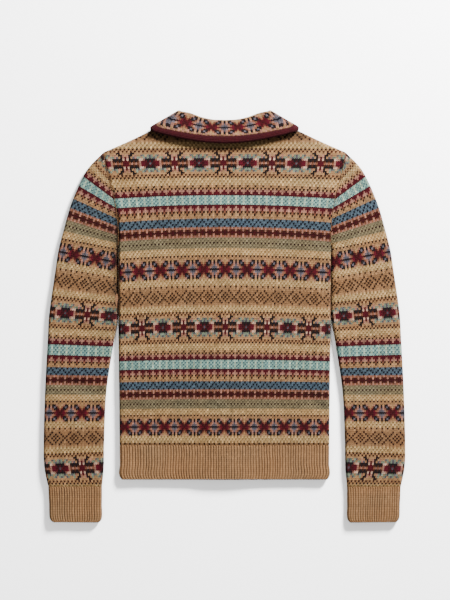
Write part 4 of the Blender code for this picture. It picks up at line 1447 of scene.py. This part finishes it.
pieces = {}
for node, ((wool, inside, ending, slot), grids, needs, *_) in CLOTH.items():
    pieces[node] = shell(node + ending, lambda fine: grids(fine, *needs), wool, inside)
pieces["collar_trim"] = border_piece("collar_border", knitted("dark_red_knit", fuzz=0.015))
tan_thread = plain_thread("tan_linking", (132, 98, 68))
camel_thread = plain_thread("camel_linking", (150, 112, 76))
red_thread = plain_thread("dark_red_linking", (58, 12, 22))
horn_brown = horn("streaked_horn")
for number, height in enumerate(BUTTON_HEIGHTS, 1):
    pieces[f"button_{number}"] = button_piece(f"button_{number}_horn", height, horn_brown)

# Sewing: slot, thread and seed; a stitch's spacing, length, width and slant; then its paths.
HEM_HALF = float(side_x(HEM_TOP)) - SIDE_RADIUS
HEM_GAP = 0.018             # the front hems' seams stop here, beside the bands
SEWING = {
    "armhole_stitches": ("banded_knit", tan_thread, 3, 0.0027, 0.0030, 0.0009, 0.25,
                         *(armhole_path(sign, way) for sign in (-1, 1) for way in (1, -1))),
    "hem_stitches": ("camel_rib", camel_thread, 4, 0.0026, 0.0029, 0.0009, 0.18,
                     hem_path(-HEM_HALF, HEM_HALF, 1), hem_path(-HEM_HALF, -HEM_GAP, -1),
                     hem_path(HEM_GAP, HEM_HALF, -1)),
    "cuff_stitches": ("camel_rib", camel_thread, 5, 0.0026, 0.0029, 0.0009, 0.18,
                      cuff_path(-1), cuff_path(1)),
    "border_stitches": ("dark_red_border", red_thread, 6, 0.0024, 0.0026, 0.0008, 0.3, border_path()),
    "buttonhole_stitches": ("camel_rib", camel_thread, 7, 0.0008, 0.0011, 0.0010, 1.2,
                            *(buttonhole_path(y) for y in BUTTON_HEIGHTS)),
}
sewn = {name: stitch_line(name, *how) for name, (_, *how) in SEWING.items()}
sewn["button_thread"] = button_thread("button_thread", tan_thread)
for name, piece in sewn.items():
    for vertex in piece.data.vertices:
        vertex.co.z = max(vertex.co.z, 0.0)
    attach(piece, "root")
    SEWING[name][0] if name in SEWING else "horn_button"
for node, piece in pieces.items():
    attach(piece, "root")
    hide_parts(node)

# ---- floor, light and camera ---------------------------------------------------------------------
paper = Graph("pale_floor").finish({"Base Color": (0.96, 0.96, 0.96, 1.0), "Roughness": 0.85})
FLOOR_Z = -0.0004
floor_mesh = bpy.data.meshes.new("floor")
corners = [(x, y, FLOOR_Z) for x, y in ((-3, -3), (3, -3), (3, 3), (-3, 3))]
floor_mesh.from_pydata(corners, [], [(0, 1, 2, 3)])
floor_mesh.materials.append(paper)
placed("floor", floor_mesh)

cuts = {node: how[3:] for node, how in CLOTH.items()} | {"collar_trim": TRIM_CUT}
for node, (flat, area, below, sewing) in cuts.items():
    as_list(below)

world = bpy.data.worlds.new("studio")
world.use_nodes = True
sky = world.node_tree.nodes["Background"].inputs
sky["Color"].default_value = (1.0, 1.0, 1.0, 1.0)
sky["Strength"].default_value = 0.66
bpy.context.scene.world = world


def soft_light(name, place, size, power):
    """A square lamp that faces the origin."""
    lamp = bpy.data.lights.new(name, "AREA")
    lamp.shape = "SQUARE"
    lamp.size = size
    lamp.energy = power
    made = placed(name, lamp)
    made.location = place
    heading = -np.array(place)
    made.rotation_euler = (math.acos(-heading[2] / np.linalg.norm(heading)), 0.0,
                           math.atan2(heading[1], heading[0]) - QUARTER)


soft_light("key", (1.5, 2.1, 1.25), 0.6, 800.0)
soft_light("fill", (-1.0, -0.6, 2.0), 1.6, 34.0)

camera = bpy.data.cameras.new("camera")
camera.sensor_width = 36.0
camera.lens = 110.4
camera_object = placed("camera", camera)
camera_object.location = (0.0008, 0.0269, 3.0089)
bpy.context.scene.camera = camera_object
